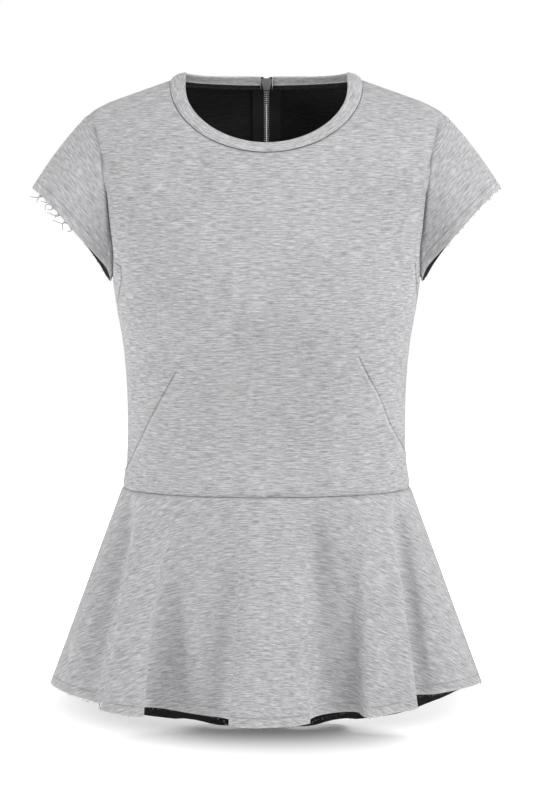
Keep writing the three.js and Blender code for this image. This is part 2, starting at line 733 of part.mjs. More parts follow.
function geometryOf(solid) {
  const mesh = solid.getMesh();
  const points = [];
  for (let i = 0; i < mesh.vertProperties.length; i += mesh.numProp) {
    points.push(new THREE.Vector3().fromArray(mesh.vertProperties, i));
  }
  return facingOut(points, Array.from(mesh.triVerts));
}

function zipSlider() {
  const outer = PLATE_SPACE / 2;
  const top = outer + PLATE_THICKNESS;
  const bridge = TAB_LIFT + TAB_BAR_RADIUS + 0.45;
  const parts = [
    shieldPlate(outer),
    shieldPlate(-top),
    box(-1.3, 1.3, 0.4, 4.2, -outer - 0.3, outer + 0.3),
    box(-1, 1, 3.1, 4.1, outer + 0.5, bridge + 0.9),
    box(-1, 1, -3.4, -2.4, outer + 0.5, bridge + 0.9),
    box(-1, 1, -3.4, 4.1, bridge, bridge + 0.9),
  ];
  return geometryOf(Manifold.union(parts)).applyMatrix4(sliderFrame());
}

// Hinge of the pull tab: the middle of its bar under the slider's bridge.
function hingePoint() {
  return new THREE.Vector3(0, 0.4, TAB_LIFT).applyMatrix4(sliderFrame());
}

// Direction in which the tab lies down, just clear of the back.
function tabRestDirection() {
  const hinge = hingePoint();
  for (let tilt = 0; tilt < 60; tilt += 0.25) {
    const down = new THREE.Vector3(0, Math.sin(rad(tilt)), -Math.cos(rad(tilt)));
    const clear = steps(6, TAB_LENGTH, 18).every((along) => {
      const at = hinge.clone().addScaledVector(down, along);
      const { point, normal } = zipPath(at.z);
      return at.sub(point).dot(normal) > TAB_THICKNESS / 2 + TAB_CLEARANCE;
    });
    if (clear) return down;
  }
  return new THREE.Vector3(0, 0, -1);
}

function pullTab() {
  const half = TAB_WIDTH / 2;
  const thin = TAB_THICKNESS / 2;
  const outline = [
    [-half, 0.6], [-half, -TAB_LENGTH + 2.4], [-half + 1.4, -TAB_LENGTH + 0.5], [-half + 2.4, -TAB_LENGTH],
    [half - 2.4, -TAB_LENGTH], [half - 1.4, -TAB_LENGTH + 0.5], [half, -TAB_LENGTH + 2.4], [half, 0.6],
  ];
  const plate = Manifold.extrude([outline], TAB_THICKNESS).translate([0, 0, -thin]);
  const slot = box(-1.5, 1.5, -5.6, 0.9, -2, 2);
  const hole = Manifold.cylinder(4, 1.2, 1.2, 16).translate([0, -TAB_LENGTH + 4, -2]);
  const bar = Manifold.cylinder(TAB_WIDTH, TAB_BAR_RADIUS, TAB_BAR_RADIUS, 12)
    .rotate([0, 90, 0])
    .translate([-half, 0, 0]);
  const solid = Manifold.union([plate.subtract(slot).subtract(hole), bar]);
  const up = tabRestDirection().negate();
  const across = new THREE.Vector3(1, 0, 0);
  const out = across.clone().cross(up);
  const frame = new THREE.Matrix4().makeBasis(across, up, out).setPosition(hingePoint());
  return geometryOf(solid).applyMatrix4(frame);
}

function named(name, geometry, look) {
  const mesh = new THREE.Mesh(geometry, new THREE.MeshStandardMaterial(look));
  mesh.name = name;
  return mesh;
}

const garment = new THREE.Group();
garment.name = "peplum_top";
garment.add(named("front_bodice", frontBodice(), CLOTH));
garment.add(named("back_bodice_left", backBodice(1), CLOTH));
garment.add(named("back_bodice_right", backBodice(-1), CLOTH));
garment.add(named("sleeve_left", sleeve(1), CLOTH));
garment.add(named("sleeve_right", sleeve(-1), CLOTH));
garment.add(named("neck_band", neckBand(), CLOTH));
garment.add(named("peplum_front", peplum(false), CLOTH));
garment.add(named("peplum_back", peplum(true), CLOTH));
garment.add(named("zip_tape_left", zipTape(1), TAPE));
garment.add(named("zip_tape_right", zipTape(-1), TAPE));
garment.add(named("zip_chain", zipChain(), METAL));
garment.add(named("zip_slider", zipSlider(), METAL));
garment.add(named("zip_pull_tab", pullTab(), METAL));

export { hingePoint, tabRestDirection };
export default garment;
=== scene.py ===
"""Short-sleeved peplum top of grey heather knit, filled out with no wearer.

Sizes inside the classes are in millimetres, in the frame of the solids: +X is the wearer's left,
+Y the back and +Z up. Meshes are made in metres.
"""

import logging
import math
from dataclasses import dataclass, field
from enum import Enum
from typing import Callable, Sequence

import bpy
import numpy as np
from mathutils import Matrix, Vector


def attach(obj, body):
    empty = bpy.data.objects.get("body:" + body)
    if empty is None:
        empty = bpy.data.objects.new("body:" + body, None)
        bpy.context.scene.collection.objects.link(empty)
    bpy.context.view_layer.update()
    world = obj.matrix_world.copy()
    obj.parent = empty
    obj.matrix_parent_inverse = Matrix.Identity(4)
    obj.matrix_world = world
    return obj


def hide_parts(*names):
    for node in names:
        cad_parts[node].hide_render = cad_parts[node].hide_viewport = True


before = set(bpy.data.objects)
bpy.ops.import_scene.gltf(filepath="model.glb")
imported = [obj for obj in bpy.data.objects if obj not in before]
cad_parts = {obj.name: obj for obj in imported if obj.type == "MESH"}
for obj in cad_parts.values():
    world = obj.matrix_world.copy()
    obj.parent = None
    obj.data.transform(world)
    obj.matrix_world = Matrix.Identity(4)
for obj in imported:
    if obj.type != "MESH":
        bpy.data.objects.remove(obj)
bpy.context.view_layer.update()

LOG = logging.getLogger("peplum_top")
MM = 0.001
WALL = 2.0
HALF_GAP = 0.15
HALF_CLOUD = 0.025
WAIST_SINK = (1.3, 2.6)
TOP_SINK = (1.0, 2.4)
SIDE_SINK = (0.9, 2.4)
Array = np.ndarray
Curve = Callable[[Array], Array]
Pair = tuple[float, float]
Triple = tuple[float, float, float]
Colour = tuple[float, float, float, float]
Tree = bpy.types.NodeTree
Socket = bpy.types.NodeSocket
Material = bpy.types.Material
Piece = bpy.types.Object


class Side(Enum):
    """The wearer's side, as the sign of X."""

    LEFT = 1
    RIGHT = -1


class Face(Enum):
    """Material slots of a cloth wall."""

    OUTER = 0
    INNER = 1
    CUT_OUTER = 2
    CUT_INNER = 3


# ---------------------------------------------------------------- form


def smooth_table(heights: Sequence[float], values: Sequence[float]) -> Curve:
    """Makes a smooth curve through a table.

    Args:
        heights: The table's heights, in any order.
        values: The value at each height.

    Returns:
        A function from heights to values.
    """
    order = np.argsort(heights)
    z = np.asarray(heights, float)[order]
    v = np.asarray(values, float)[order]
    before = np.maximum(np.arange(len(z)) - 1, 0)
    after = np.minimum(np.arange(len(z)) + 1, len(z) - 1)
    slope = (v[after] - v[before]) / (z[after] - z[before])

    def value(at: Array) -> Array:
        """Value at each height."""
        i = np.clip(np.searchsorted(z, at, side="right") - 1, 0, len(z) - 2)
        span = z[i + 1] - z[i]
        t = np.clip((at - z[i]) / span, 0, 1)
        rise = v[i + 1] - v[i]
        bend = (1 - t) * (slope[i] * span - rise) - t * (slope[i + 1] * span - rise)
        return v[i] + rise * t + t * (1 - t) * bend

    return value


def unit(vectors: Array) -> Array:
    """Vectors scaled to length one."""
    return vectors / np.maximum(np.linalg.norm(vectors, axis=-1, keepdims=True), 1e-12)


def lerp(a: Array, b: Array, t: Array) -> Array:
    """Straight blend from a to b."""
    return a + (b - a) * t


@dataclass(frozen=True)
class TorsoSection:
    """A level section of the body: half width, and depth to the front and the back."""

    z: float
    half: float
    front: float
    back: float


@dataclass(frozen=True)
class BodyForm:
    """The form that the bodice is filled out to, with its shoulders, armholes and neckline."""

    waist_z: float = -404.0
    neck_half: float = 95.3
    neck_front_z: float = -70.4
    neck_back_z: float = -6.0
    tip_x: float = 177.5
    shoulder_slope: float = 0.353
    tip_roll_start: float = 150.0
    tip_roll_drop: float = 4.9
    front_roll: float = 85.0
    back_roll: float = 60.0
    squareness: float = 0.85
    armhole_middle: float = -115.0
    armhole_half: float = 81.0
    sections: tuple[TorsoSection, ...] = (
        TorsoSection(10, 205, 66, 74),
        TorsoSection(-40, 200, 74, 90),
        TorsoSection(-75, 190, 83, 99),
        TorsoSection(-115, 177, 96, 104),
        TorsoSection(-160, 162, 113, 104),
        TorsoSection(-198, 153, 122, 101),
        TorsoSection(-225, 149, 124, 97),
        TorsoSection(-260, 143, 118, 90),
        TorsoSection(-300, 139.5, 109, 82),
        TorsoSection(-340, 138.5, 103, 78),
        TorsoSection(-375, 139.5, 102, 80),
        TorsoSection(-404, 144, 105, 86),
    )
    armhole_line: tuple[Pair, ...] = (
        (-34, 177.5),
        (-46, 170),
        (-66, 163),
        (-84, 160),
        (-110, 157),
        (-144, 154),
        (-169, 151.5),
        (-190, 152.5),
        (-196, 153.3),
    )

    def curve(self, name: str) -> Curve:
        """Smooth curve of one column of the sections."""
        return smooth_table([s.z for s in self.sections], [getattr(s, name) for s in self.sections])

    def ridge(self, x: Array) -> Array:
        """Height of the shoulder line at a distance from the middle."""
        reach = np.abs(x)
        past = np.maximum(0, reach - self.tip_roll_start) / (self.tip_x - self.tip_roll_start)
        return -(reach - self.neck_half) * self.shoulder_slope - self.tip_roll_drop * past**2

    def point(self, angle: Array, z: Array) -> Array:
        """Outer face of the bodice.

        Args:
            angle: Angle from centre front, in radians.
            z: Height.

        Returns:
            Points, one row of three for each angle.
        """
        angle, z = np.broadcast_arrays(np.asarray(angle, float), np.asarray(z, float))
        x = self.curve("half")(z) * np.sin(angle)
        c = np.cos(angle)
        depth = np.where(c >= 0, self.curve("front")(z), self.curve("back")(z))
        roll = np.where(c >= 0, self.front_roll, self.back_roll)
        below = np.clip((self.ridge(x) - z) / roll, 0, 1)
        below = np.where(below < 1e-7, 0, below)
        share = np.sqrt(np.maximum(0, 1 - (1 - below) ** 2))
        y = -np.sign(c) * depth * np.abs(c) ** self.squareness * share
        return np.stack([x, y, z], axis=-1)

    def normal(self, angle: Array, z: Array) -> Array:
        """Outward normal of the bodice, off the slope on the shoulder line itself."""
        angle, z = np.broadcast_arrays(np.asarray(angle, float), np.asarray(z, float))
        across = self.point(angle + 2e-3, z) - self.point(angle - 2e-3, z)
        along = self.point(angle, z + 0.02) - self.point(angle, z - 0.02)
        normal = unit(np.cross(across, along))
        x = self.curve("half")(z) * np.sin(angle)
        slope = (self.ridge(x + 0.1) - self.ridge(x - 0.1)) / 0.2
        top = unit(np.stack([-slope, np.zeros_like(slope), np.ones_like(slope)], axis=-1))
        return np.where((self.ridge(x) - z < 0.05)[..., None], top, normal)

    def level_normal(self, angle: Array, z: Array) -> Array:
        """Outward direction in the level plane."""
        normal = self.normal(angle, z)
        normal[..., 2] = 0
        return unit(normal)

    def angle_at(self, x: Array, z: Array, behind: Array) -> Array:
        """Angle from centre front of a point at a distance from the middle."""
        angle = np.arcsin(np.clip(x / self.curve("half")(np.asarray(z, float)), -1, 1))
        return np.where(behind, math.pi - angle, angle)

    def armhole(self, turn: Array) -> tuple[Array, Array]:
        """Armhole seam on the wearer's left, from the tip over the front to the underarm and back.

        Args:
            turn: Turn round the armhole, in radians.

        Returns:
            Angles from centre front, and heights.
        """
        turn = np.asarray(turn, float)
        z = self.armhole_middle + self.armhole_half * np.cos(turn)
        line = smooth_table([p[0] for p in self.armhole_line], [p[1] for p in self.armhole_line])
        tip = np.minimum(turn, 2 * math.pi - turn) < 1e-6
        x = np.where(tip, self.tip_x, line(z))
        angle = self.angle_at(x, z, turn > math.pi)
        angle = np.where(np.abs(turn - math.pi) < 1e-6, math.pi / 2, angle)
        return angle, np.where(tip, self.ridge(np.array(self.tip_x)), z)

    def neckline(self, turn: Array, behind: bool) -> tuple[Array, Array]:
        """Neckline seam on the wearer's left: angles and heights for turns from centre front."""
        turn = np.asarray(turn, float)
        x = self.neck_half * np.sin(turn)
        drop = self.neck_back_z if behind else self.neck_front_z
        z = drop * np.abs(np.cos(turn))
        return self.angle_at(x, z, np.full(turn.shape, behind)), z


BODY = BodyForm()


# ---------------------------------------------------------------- creases


@dataclass(frozen=True)
class Crease:
    """A soft trough or ridge along a line on the cloth, in the two coordinates of its piece."""

    name: str
    start: Pair
    end: Pair
    width: float
    depth: float
    bow: float = 0.0

    def lift(self, u: Array, v: Array) -> Array:
        """Height that the crease adds at each point, fading at its two ends.

        Args:
            u: First coordinate of each point.
            v: Second coordinate of each point.

        Returns:
            Millimetres out of the cloth.
        """
        ax, ay = self.start
        dx, dy = self.end[0] - ax, self.end[1] - ay
        length = math.hypot(dx, dy)
        t = ((u - ax) * dx + (v - ay) * dy) / length**2
        off = (-(u - ax) * dy + (v - ay) * dx) / length
        off = off - self.bow * 4 * t * (1 - t)
        fade = np.clip(np.minimum(t, 1 - t) / 0.25 + 0.35, 0, 1)
        fade = fade * fade * (3 - 2 * fade)
        fade = np.where((t < -0.1) | (t > 1.1), 0, fade)
        return self.depth * fade * np.exp(-((off / self.width) ** 2))


def lifted(creases: Sequence[Crease], u: Array, v: Array) -> Array:
    """Sum of the creases' heights at each point."""
    total = np.zeros(np.broadcast(u, v).shape)
    for crease in creases:
        total = total + crease.lift(u, v)
    return total


@dataclass(frozen=True)
class Dart:
    """A sewn dart: a fine groove with a soft raised edge on one side of it."""

    name: str
    line: tuple[Pair, ...]
    ridge_side: float
    groove: float = 0.5
    ridge: float = 1.0

    def lift(self, x: Array, z: Array) -> Array:
        """Height that the dart adds at each point of the front."""
        best = np.full(x.shape, 1e9)
        signed = np.zeros(x.shape)
        along = np.zeros(x.shape)
        lengths = [math.dist(a, b) for a, b in zip(self.line, self.line[1:])]
        done = 0.0
        for (a, b), length in zip(zip(self.line, self.line[1:]), lengths):
            dx, dz = (b[0] - a[0]) / length, (b[1] - a[1]) / length
            t = np.clip((x - a[0]) * dx + (z - a[1]) * dz, 0, length)
            px, pz = x - a[0] - t * dx, z - a[1] - t * dz
            distance = np.hypot(px, pz)
            side = np.sign(px * dz - pz * dx)
            nearer = distance < best
            signed = np.where(nearer, distance * side, signed)
            along = np.where(nearer, (done + t) / sum(lengths), along)
            best = np.minimum(best, distance)
            done += length
        fade = np.clip((1.0 - along) / 0.35, 0, 1)
        s = signed * self.ridge_side
        groove = -self.groove * np.exp(-(((s + 0.8) / 2.6) ** 2))
        ridge = self.ridge * np.exp(-(((s - 3.6) / 3.0) ** 2))
        return fade * (groove + ridge)


DARTS: tuple[Dart, ...] = (
    Dart("right dart", ((-139.0, -383.0), (-111.5, -326.0), (-84.8, -277.5)), 1.0),
    Dart(
        "left dart",
        ((138.0, -366.5), (121.5, -336.5), (110.5, -308.0), (99.5, -288.5), (88.4, -265.9)),
        -1.0,
    ),
)
UNDERARM_LINES = (
    ((-148.0, -178.5), (-142.8, -182.5), (-141.6, -193.0), (-143.6, -203.0), (-146.8, -218.0)),
    ((145.6, -178.5), (146.5, -190.0), (147.6, -199.0), (149.2, -216.0)),
)


# ---------------------------------------------------------------- meshes


def tube_faces(count: int, sides: int) -> list[tuple[int, ...]]:
    """Faces of a tube through a count of rings, closed at both ends."""
    faces = [
        (i * sides + k, i * sides + (k + 1) % sides, (i + 1) * sides + (k + 1) % sides, (i + 1) * sides + k)
        for i in range(count - 1)
        for k in range(sides)
    ]
    return [*faces, tuple(range(sides))[::-1], tuple(range((count - 1) * sides, count * sides))]


def add_mesh(
    name: str,
    points: Array,
    faces: list[tuple[int, ...]],
    slots: Sequence[int],
    materials: Sequence[Material],
    uv_layers: dict[str, Array],
) -> Piece:
    """Makes an object from points in millimetres.

    Args:
        name: The object's name.
        points: One row of three for each vertex.
        faces: Vertex indices of each face.
        slots: Material slot of each face.
        materials: The object's materials.
        uv_layers: For each UV map, a pair for each vertex, in metres.

    Returns:
        The new object, linked to the scene.
    """
    mesh = bpy.data.meshes.new(name)
    mesh.from_pydata((np.asarray(points) * MM).tolist(), [], faces)
    for material in materials:
        mesh.materials.append(material)
    mesh.polygons.foreach_set("material_index", np.asarray(slots, np.int32))
    mesh.polygons.foreach_set("use_smooth", np.ones(len(faces), bool))
    corner = np.zeros(len(mesh.loops), np.int32)
    mesh.loops.foreach_get("vertex_index", corner)
    for layer, values in uv_layers.items():
        uv = mesh.uv_layers.new(name=layer)
        uv.data.foreach_set("uv", np.asarray(values, np.float32)[corner].ravel())
    mesh.update()
    mesh.set_sharp_from_angle(angle=math.radians(55))
    made = bpy.data.objects.new(name, mesh)
    bpy.context.scene.collection.objects.link(made)
    return made


@dataclass
class ClothGrid:
    """A sheet of cloth as a grid: rows up the piece and columns across it."""

    outer: Array
    offset: Array
    cut: Array
    edge: Array
    seam: Array
    view: Array
    closed: bool = False
    thickness: float = WALL

    def inset(self, row: int, beyond: int) -> None:
        """Moves one end row half a seam gap towards the next row."""
        points = self.outer[row]
        tangent = np.gradient(points, axis=0)
        if self.closed:
            tangent = np.roll(points, -1, axis=0) - np.roll(points, 1, axis=0)
        step = unit(np.cross(tangent, self.offset[row]))
        inward = (step * unit(self.outer[beyond] - points)).sum()
        self.outer[row] = points + step * HALF_GAP * np.sign(inward)

    def inset_side(self, column: int, beyond: int) -> None:
        """Moves one end column half a seam gap towards the next column."""
        points = self.outer[:, column]
        step = unit(np.cross(np.gradient(points, axis=0), self.offset[:, column]))
        inward = (step * unit(self.outer[:, beyond] - points)).sum()
        self.outer[:, column] = points + step * HALF_GAP * np.sign(inward)

    def roll_in(self, distance: Array, depth: float, reach: float) -> None:
        """Sinks the cloth into a seam: distance is how far each node is from it."""
        self.outer = self.outer - unit(self.offset) * (depth * np.exp(-((distance / reach) ** 2)))[..., None]

    def build(self, name: str, materials: Sequence[Material]) -> Piece:
        """Makes the closed wall of this sheet.

        Args:
            name: The object's name.
            materials: Materials in the order of Face.

        Returns:
            The new object.
        """
        rows, columns = self.outer.shape[:2]
        count = rows * columns
        inner = self.outer - self.offset * self.thickness
        index = np.arange(count).reshape(rows, columns)
        around = np.concatenate([index, index[:, :1]], axis=1) if self.closed else index
        a, b, c, d = around[:-1, :-1], around[:-1, 1:], around[1:, 1:], around[1:, :-1]
        quads = np.stack([a, b, c, d], axis=-1).reshape(-1, 4)
        flat = self.outer.reshape(-1, 3)
        normals = np.cross(flat[quads[:, 2]] - flat[quads[:, 0]], flat[quads[:, 3]] - flat[quads[:, 1]])
        outward = self.offset.reshape(-1, 3)[quads[:, 0]]
        turned = float((unit(normals) * outward).sum()) < 0
        loops = self.rims(index)
        points = [flat, inner.reshape(-1, 3)]
        layers = {"cut": self.cut, "edge": self.edge, "seam": self.seam, "view": self.view}
        maps = {key: [values.reshape(-1, 2)] * 2 for key, values in layers.items()}
        faces = [quads, quads[:, ::-1] + count]
        slots = [np.full(len(quads), Face.OUTER.value), np.full(len(quads), Face.INNER.value)]
        start = 2 * count
        for loop in loops:
            middle = (flat[loop] + inner.reshape(-1, 3)[loop]) / 2
            own = np.arange(len(loop)) + start
            start += len(loop)
            points.append(middle)
            for key, values in layers.items():
                maps[key].append(values.reshape(-1, 2)[loop])
            nxt = np.roll(np.arange(len(loop)), -1)
            faces.append(np.stack([loop[nxt], loop, own, own[nxt]], axis=-1))
            faces.append(np.stack([own[nxt], own, loop + count, loop[nxt] + count], axis=-1))
            slots.append(np.full(len(loop), Face.CUT_OUTER.value))
            slots.append(np.full(len(loop), Face.CUT_INNER.value))
        every = np.concatenate(faces)
        if turned:
            every = every[:, ::-1]
        return add_mesh(
            name,
            np.concatenate(points),
            [tuple(f) for f in every.tolist()],
            np.concatenate(slots),
            materials,
            {key: np.concatenate(parts) for key, parts in maps.items()},
        )

    def rims(self, index: Array) -> list[Array]:
        """Loops of the sheet's edges, in the direction that its faces run."""
        if self.closed:
            return [index[0], index[-1][::-1]]
        return [np.concatenate([index[0, :-1], index[:-1, -1], index[-1, :0:-1], index[:0:-1, 0]])]


def along(points: Array, axis: int) -> Array:
    """Length along a grid from its first row or column."""
    steps = np.linalg.norm(np.diff(points, axis=axis), axis=-1)
    first = np.zeros_like(np.take(steps, [0], axis=axis))
    return np.concatenate([first, np.cumsum(steps, axis=axis)], axis=axis)


def arc_from_centre(angle: Array, z: Array, centre: float) -> Array:
    """Level length round the body from centre front or centre back to each point."""
    shares = np.linspace(0, 1, 40).reshape((-1,) + (1,) * np.ndim(angle))
    ring = BODY.point(centre + (angle - centre) * shares, np.broadcast_to(z, (40,) + np.shape(z)))
    ring[..., 2] = 0
    return np.linalg.norm(np.diff(ring, axis=0), axis=-1).sum(axis=0) * np.sign(angle - centre)


# ---------------------------------------------------------------- finishes


def link(tree: Tree, start: Socket, end: Socket) -> None:
    """Joins two sockets."""
    tree.links.new(start, end)


def new_node(tree: Tree, kind: str, **settings: object) -> bpy.types.Node:
    """Adds a node and sets its properties."""
    node = tree.nodes.new(kind)
    for key, value in settings.items():
        setattr(node, key, value)
    return node


def name_sockets(tree: Tree, direction: str, **kinds: str) -> None:
    """Gives a group its named inputs or outputs, each of a kind."""
    for name, kind in kinds.items():
        tree.interface.new_socket(name, in_out=direction, socket_type=f"NodeSocket{kind}")


def math_node(tree: Tree, operation: str, *values: object) -> Socket:
    """Adds a math node; each value is a number or a socket.

    Args:
        tree: The tree it goes in.
        operation: Its operation.
        *values: Its inputs.

    Returns:
        Its output socket.
    """
    node = new_node(tree, "ShaderNodeMath", operation=operation)
    for socket, value in zip(node.inputs, values):
        if isinstance(value, (int, float)):
            socket.default_value = value
        else:
            link(tree, value, socket)
    return node.outputs[0]


def weighted(tree: Tree, parts: Sequence[tuple[Socket, float]]) -> Socket:
    """Sum of values, each times its weight."""
    total: Socket | float = 0.0
    for value, weight in parts:
        total = math_node(tree, "MULTIPLY_ADD", value, weight, total)
    return total


def blend(tree: Tree, factor: Socket, first: object, second: object) -> Socket:
    """Adds a blend of two colours, each a value or a socket.

    Args:
        tree: The tree it goes in.
        factor: Share of the second colour.
        first: The colour where the share is nothing.
        second: The colour where the share is one.

    Returns:
        The blended colour's socket.
    """
    mix = new_node(tree, "ShaderNodeMix", data_type="RGBA")
    link(tree, factor, mix.inputs["Factor"])
    for socket, colour in ((mix.inputs[6], first), (mix.inputs[7], second)):
        if isinstance(colour, tuple):
            socket.default_value = colour
        else:
            link(tree, colour, socket)
    return mix.outputs[2]


def streak_noise(tree: Tree, vector: Socket, across: float, up: float, detail: float) -> Socket:
    """Noise drawn out into streaks along the first coordinate.

    Args:
        tree: The tree it goes in.
        vector: Coordinates in metres.
        across: Streaks to the metre along the streak.
        up: Streaks to the metre across it.
        detail: Octaves.

    Returns:
        The noise value's socket.
    """
    mapping = new_node(tree, "ShaderNodeMapping")
    mapping.inputs["Scale"].default_value = (across, up, 1)
    link(tree, vector, mapping.inputs["Vector"])
    noise = new_node(tree, "ShaderNodeTexNoise", noise_dimensions="2D")
    noise.inputs["Scale"].default_value = 1.0
    noise.inputs["Detail"].default_value = detail
    noise.inputs["Roughness"].default_value = 0.6
    link(tree, mapping.outputs["Vector"], noise.inputs["Vector"])
    return noise.outputs[0]


STREAKS = ((62, 900, 2.0), (150, 1500, 1.5), (700, 2400, 1.0), (12, 22, 1.0))
FLECK_SPREAD = (0.375, 0.625)


def heather_group() -> Tree:
    """Node group of the heather: light and dark flecks drawn out along the courses."""
    found = bpy.data.node_groups.get("heather_flecks")
    if found:
        return found
    tree = bpy.data.node_groups.new("heather_flecks", "ShaderNodeTree")
    name_sockets(tree, "INPUT", Cut="Vector", Dark="Color", Light="Color")
    name_sockets(tree, "OUTPUT", Colour="Color", Height="Float")
    inlet, outlet = new_node(tree, "NodeGroupInput"), new_node(tree, "NodeGroupOutput")
    vector = inlet.outputs["Cut"]
    long, short, fine, cloudy = (streak_noise(tree, vector, *size) for size in STREAKS)
    mixed = weighted(tree, ((long, 0.46), (short, 0.36), (fine, 0.18), (cloudy, 0.05)))
    spread = new_node(tree, "ShaderNodeMapRange")
    spread.inputs["From Min"].default_value = FLECK_SPREAD[0] + HALF_CLOUD
    spread.inputs["From Max"].default_value = FLECK_SPREAD[1] + HALF_CLOUD
    link(tree, mixed, spread.inputs["Value"])
    flecks = blend(tree, spread.outputs["Result"], inlet.outputs["Dark"], inlet.outputs["Light"])
    link(tree, flecks, outlet.inputs["Colour"])
    link(tree, weighted(tree, ((fine, 0.6), (short, 0.4))), outlet.inputs["Height"])
    return tree


def heather_node(tree: Tree, dark: Colour, light: Colour) -> bpy.types.Node:
    """Adds the heather between two colours, laid along the cut."""
    group = new_node(tree, "ShaderNodeGroup", node_tree=heather_group())
    group.inputs["Dark"].default_value = dark
    group.inputs["Light"].default_value = light
    link(tree, uv_of(tree, "cut"), group.inputs["Cut"])
    return group


def even_noise(tree: Tree, place: Socket, scale: float, detail: float = 2.0) -> Socket:
    """Adds noise that is alike in every direction, over the place given."""
    noise = new_node(tree, "ShaderNodeTexNoise")
    noise.inputs["Scale"].default_value = scale
    noise.inputs["Detail"].default_value = detail
    link(tree, place, noise.inputs["Vector"])
    return noise.outputs[0]


def vector_node(tree: Tree, operation: str, first: Socket, second: Socket) -> bpy.types.Node:
    """Adds a vector node with two vectors joined to it."""
    node = new_node(tree, "ShaderNodeVectorMath", operation=operation)
    link(tree, first, node.inputs[0])
    link(tree, second, node.inputs[1])
    return node


def near_mask(tree: Tree, distance: Socket, reach: float) -> Socket:
    """Mask that is one at no distance and falls softly to nothing at the reach."""
    share = math_node(tree, "MINIMUM", math_node(tree, "DIVIDE", distance, reach), 1.0)
    left = math_node(tree, "SUBTRACT", 1.0, share)
    return math_node(tree, "MULTIPLY", left, left)


LINE_REACH, RIDGE_OFF, RIDGE_REACH = 0.0017, 0.0031, 0.0034


def sewn_line_group() -> Tree:
    """Node group of one straight sewn line: masks of its fine line, which takes painted shade, and of the
    soft raised edge beside it, which takes a painted highlight.
    """
    found = bpy.data.node_groups.get("sewn_line")
    if found:
        return found
    tree = bpy.data.node_groups.new("sewn_line", "ShaderNodeTree")
    name_sockets(tree, "INPUT", Place="Vector", Start="Vector", End="Vector", Side="Float", Fade="Float")
    name_sockets(tree, "OUTPUT", Line="Float", Rise="Float")
    inlet, outlet = new_node(tree, "NodeGroupInput"), new_node(tree, "NodeGroupOutput")
    run = vector_node(tree, "SUBTRACT", inlet.outputs["End"], inlet.outputs["Start"]).outputs[0]
    from_start = vector_node(tree, "SUBTRACT", inlet.outputs["Place"], inlet.outputs["Start"]).outputs[0]
    ahead = vector_node(tree, "DOT_PRODUCT", from_start, run).outputs["Value"]
    whole = vector_node(tree, "DOT_PRODUCT", run, run).outputs["Value"]
    share = math_node(tree, "MINIMUM", math_node(tree, "DIVIDE", ahead, whole), 1.0)
    share = math_node(tree, "MAXIMUM", share, 0.0)
    reached = new_node(tree, "ShaderNodeVectorMath", operation="SCALE")
    link(tree, run, reached.inputs[0])
    link(tree, share, reached.inputs["Scale"])
    away = vector_node(tree, "DISTANCE", from_start, reached.outputs[0]).outputs["Value"]
    turn = new_node(tree, "ShaderNodeSeparateXYZ")
    link(tree, vector_node(tree, "CROSS_PRODUCT", run, from_start).outputs[0], turn.inputs[0])
    side = math_node(tree, "SIGN", math_node(tree, "MULTIPLY", turn.outputs[2], inlet.outputs["Side"]))
    signed = math_node(tree, "MULTIPLY", away, side)
    past = math_node(tree, "MAXIMUM", math_node(tree, "MULTIPLY_ADD", share, 6.0, -5.0), 0.0)
    kept = math_node(tree, "SUBTRACT", 1.0, math_node(tree, "MULTIPLY", past, inlet.outputs["Fade"]))
    line = near_mask(tree, away, LINE_REACH)
    off = math_node(tree, "ABSOLUTE", math_node(tree, "SUBTRACT", signed, RIDGE_OFF))
    link(tree, math_node(tree, "MULTIPLY", line, kept), outlet.inputs["Line"])
    link(tree, math_node(tree, "MULTIPLY", near_mask(tree, off, RIDGE_REACH), kept), outlet.inputs["Rise"])
    return tree


def new_material(name: str) -> tuple[Material, Tree, bpy.types.Node]:
    """Makes a material and hands back its tree and its shader node."""
    material = bpy.data.materials.new(name)
    material.use_nodes = True
    tree = material.node_tree
    return material, tree, tree.nodes["Principled BSDF"]


def uv_of(tree: Tree, layer: str) -> Socket:
    """Coordinates of a UV map, in metres."""
    return new_node(tree, "ShaderNodeUVMap", uv_map=layer).outputs["UV"]


def bump_of(tree: Tree, height: Socket, strength: float, distance: float) -> Socket:
    """Normal from a height.

    Args:
        tree: The tree it goes in.
        height: The height's socket.
        strength: Share of the bump that is used.
        distance: Metres that a height of one stands for.

    Returns:
        The normal's socket.
    """
    bump = new_node(tree, "ShaderNodeBump")
    bump.inputs["Strength"].default_value = strength
    bump.inputs["Distance"].default_value = distance
    link(tree, height, bump.inputs["Height"])
    return bump.outputs["Normal"]


@dataclass(frozen=True)
class SewnLine:
    """A straight sewn line on a piece, seen from the front: X and Z in millimetres."""

    start: Pair
    end: Pair
    side: float = 0.0
    fade: float = 0.0


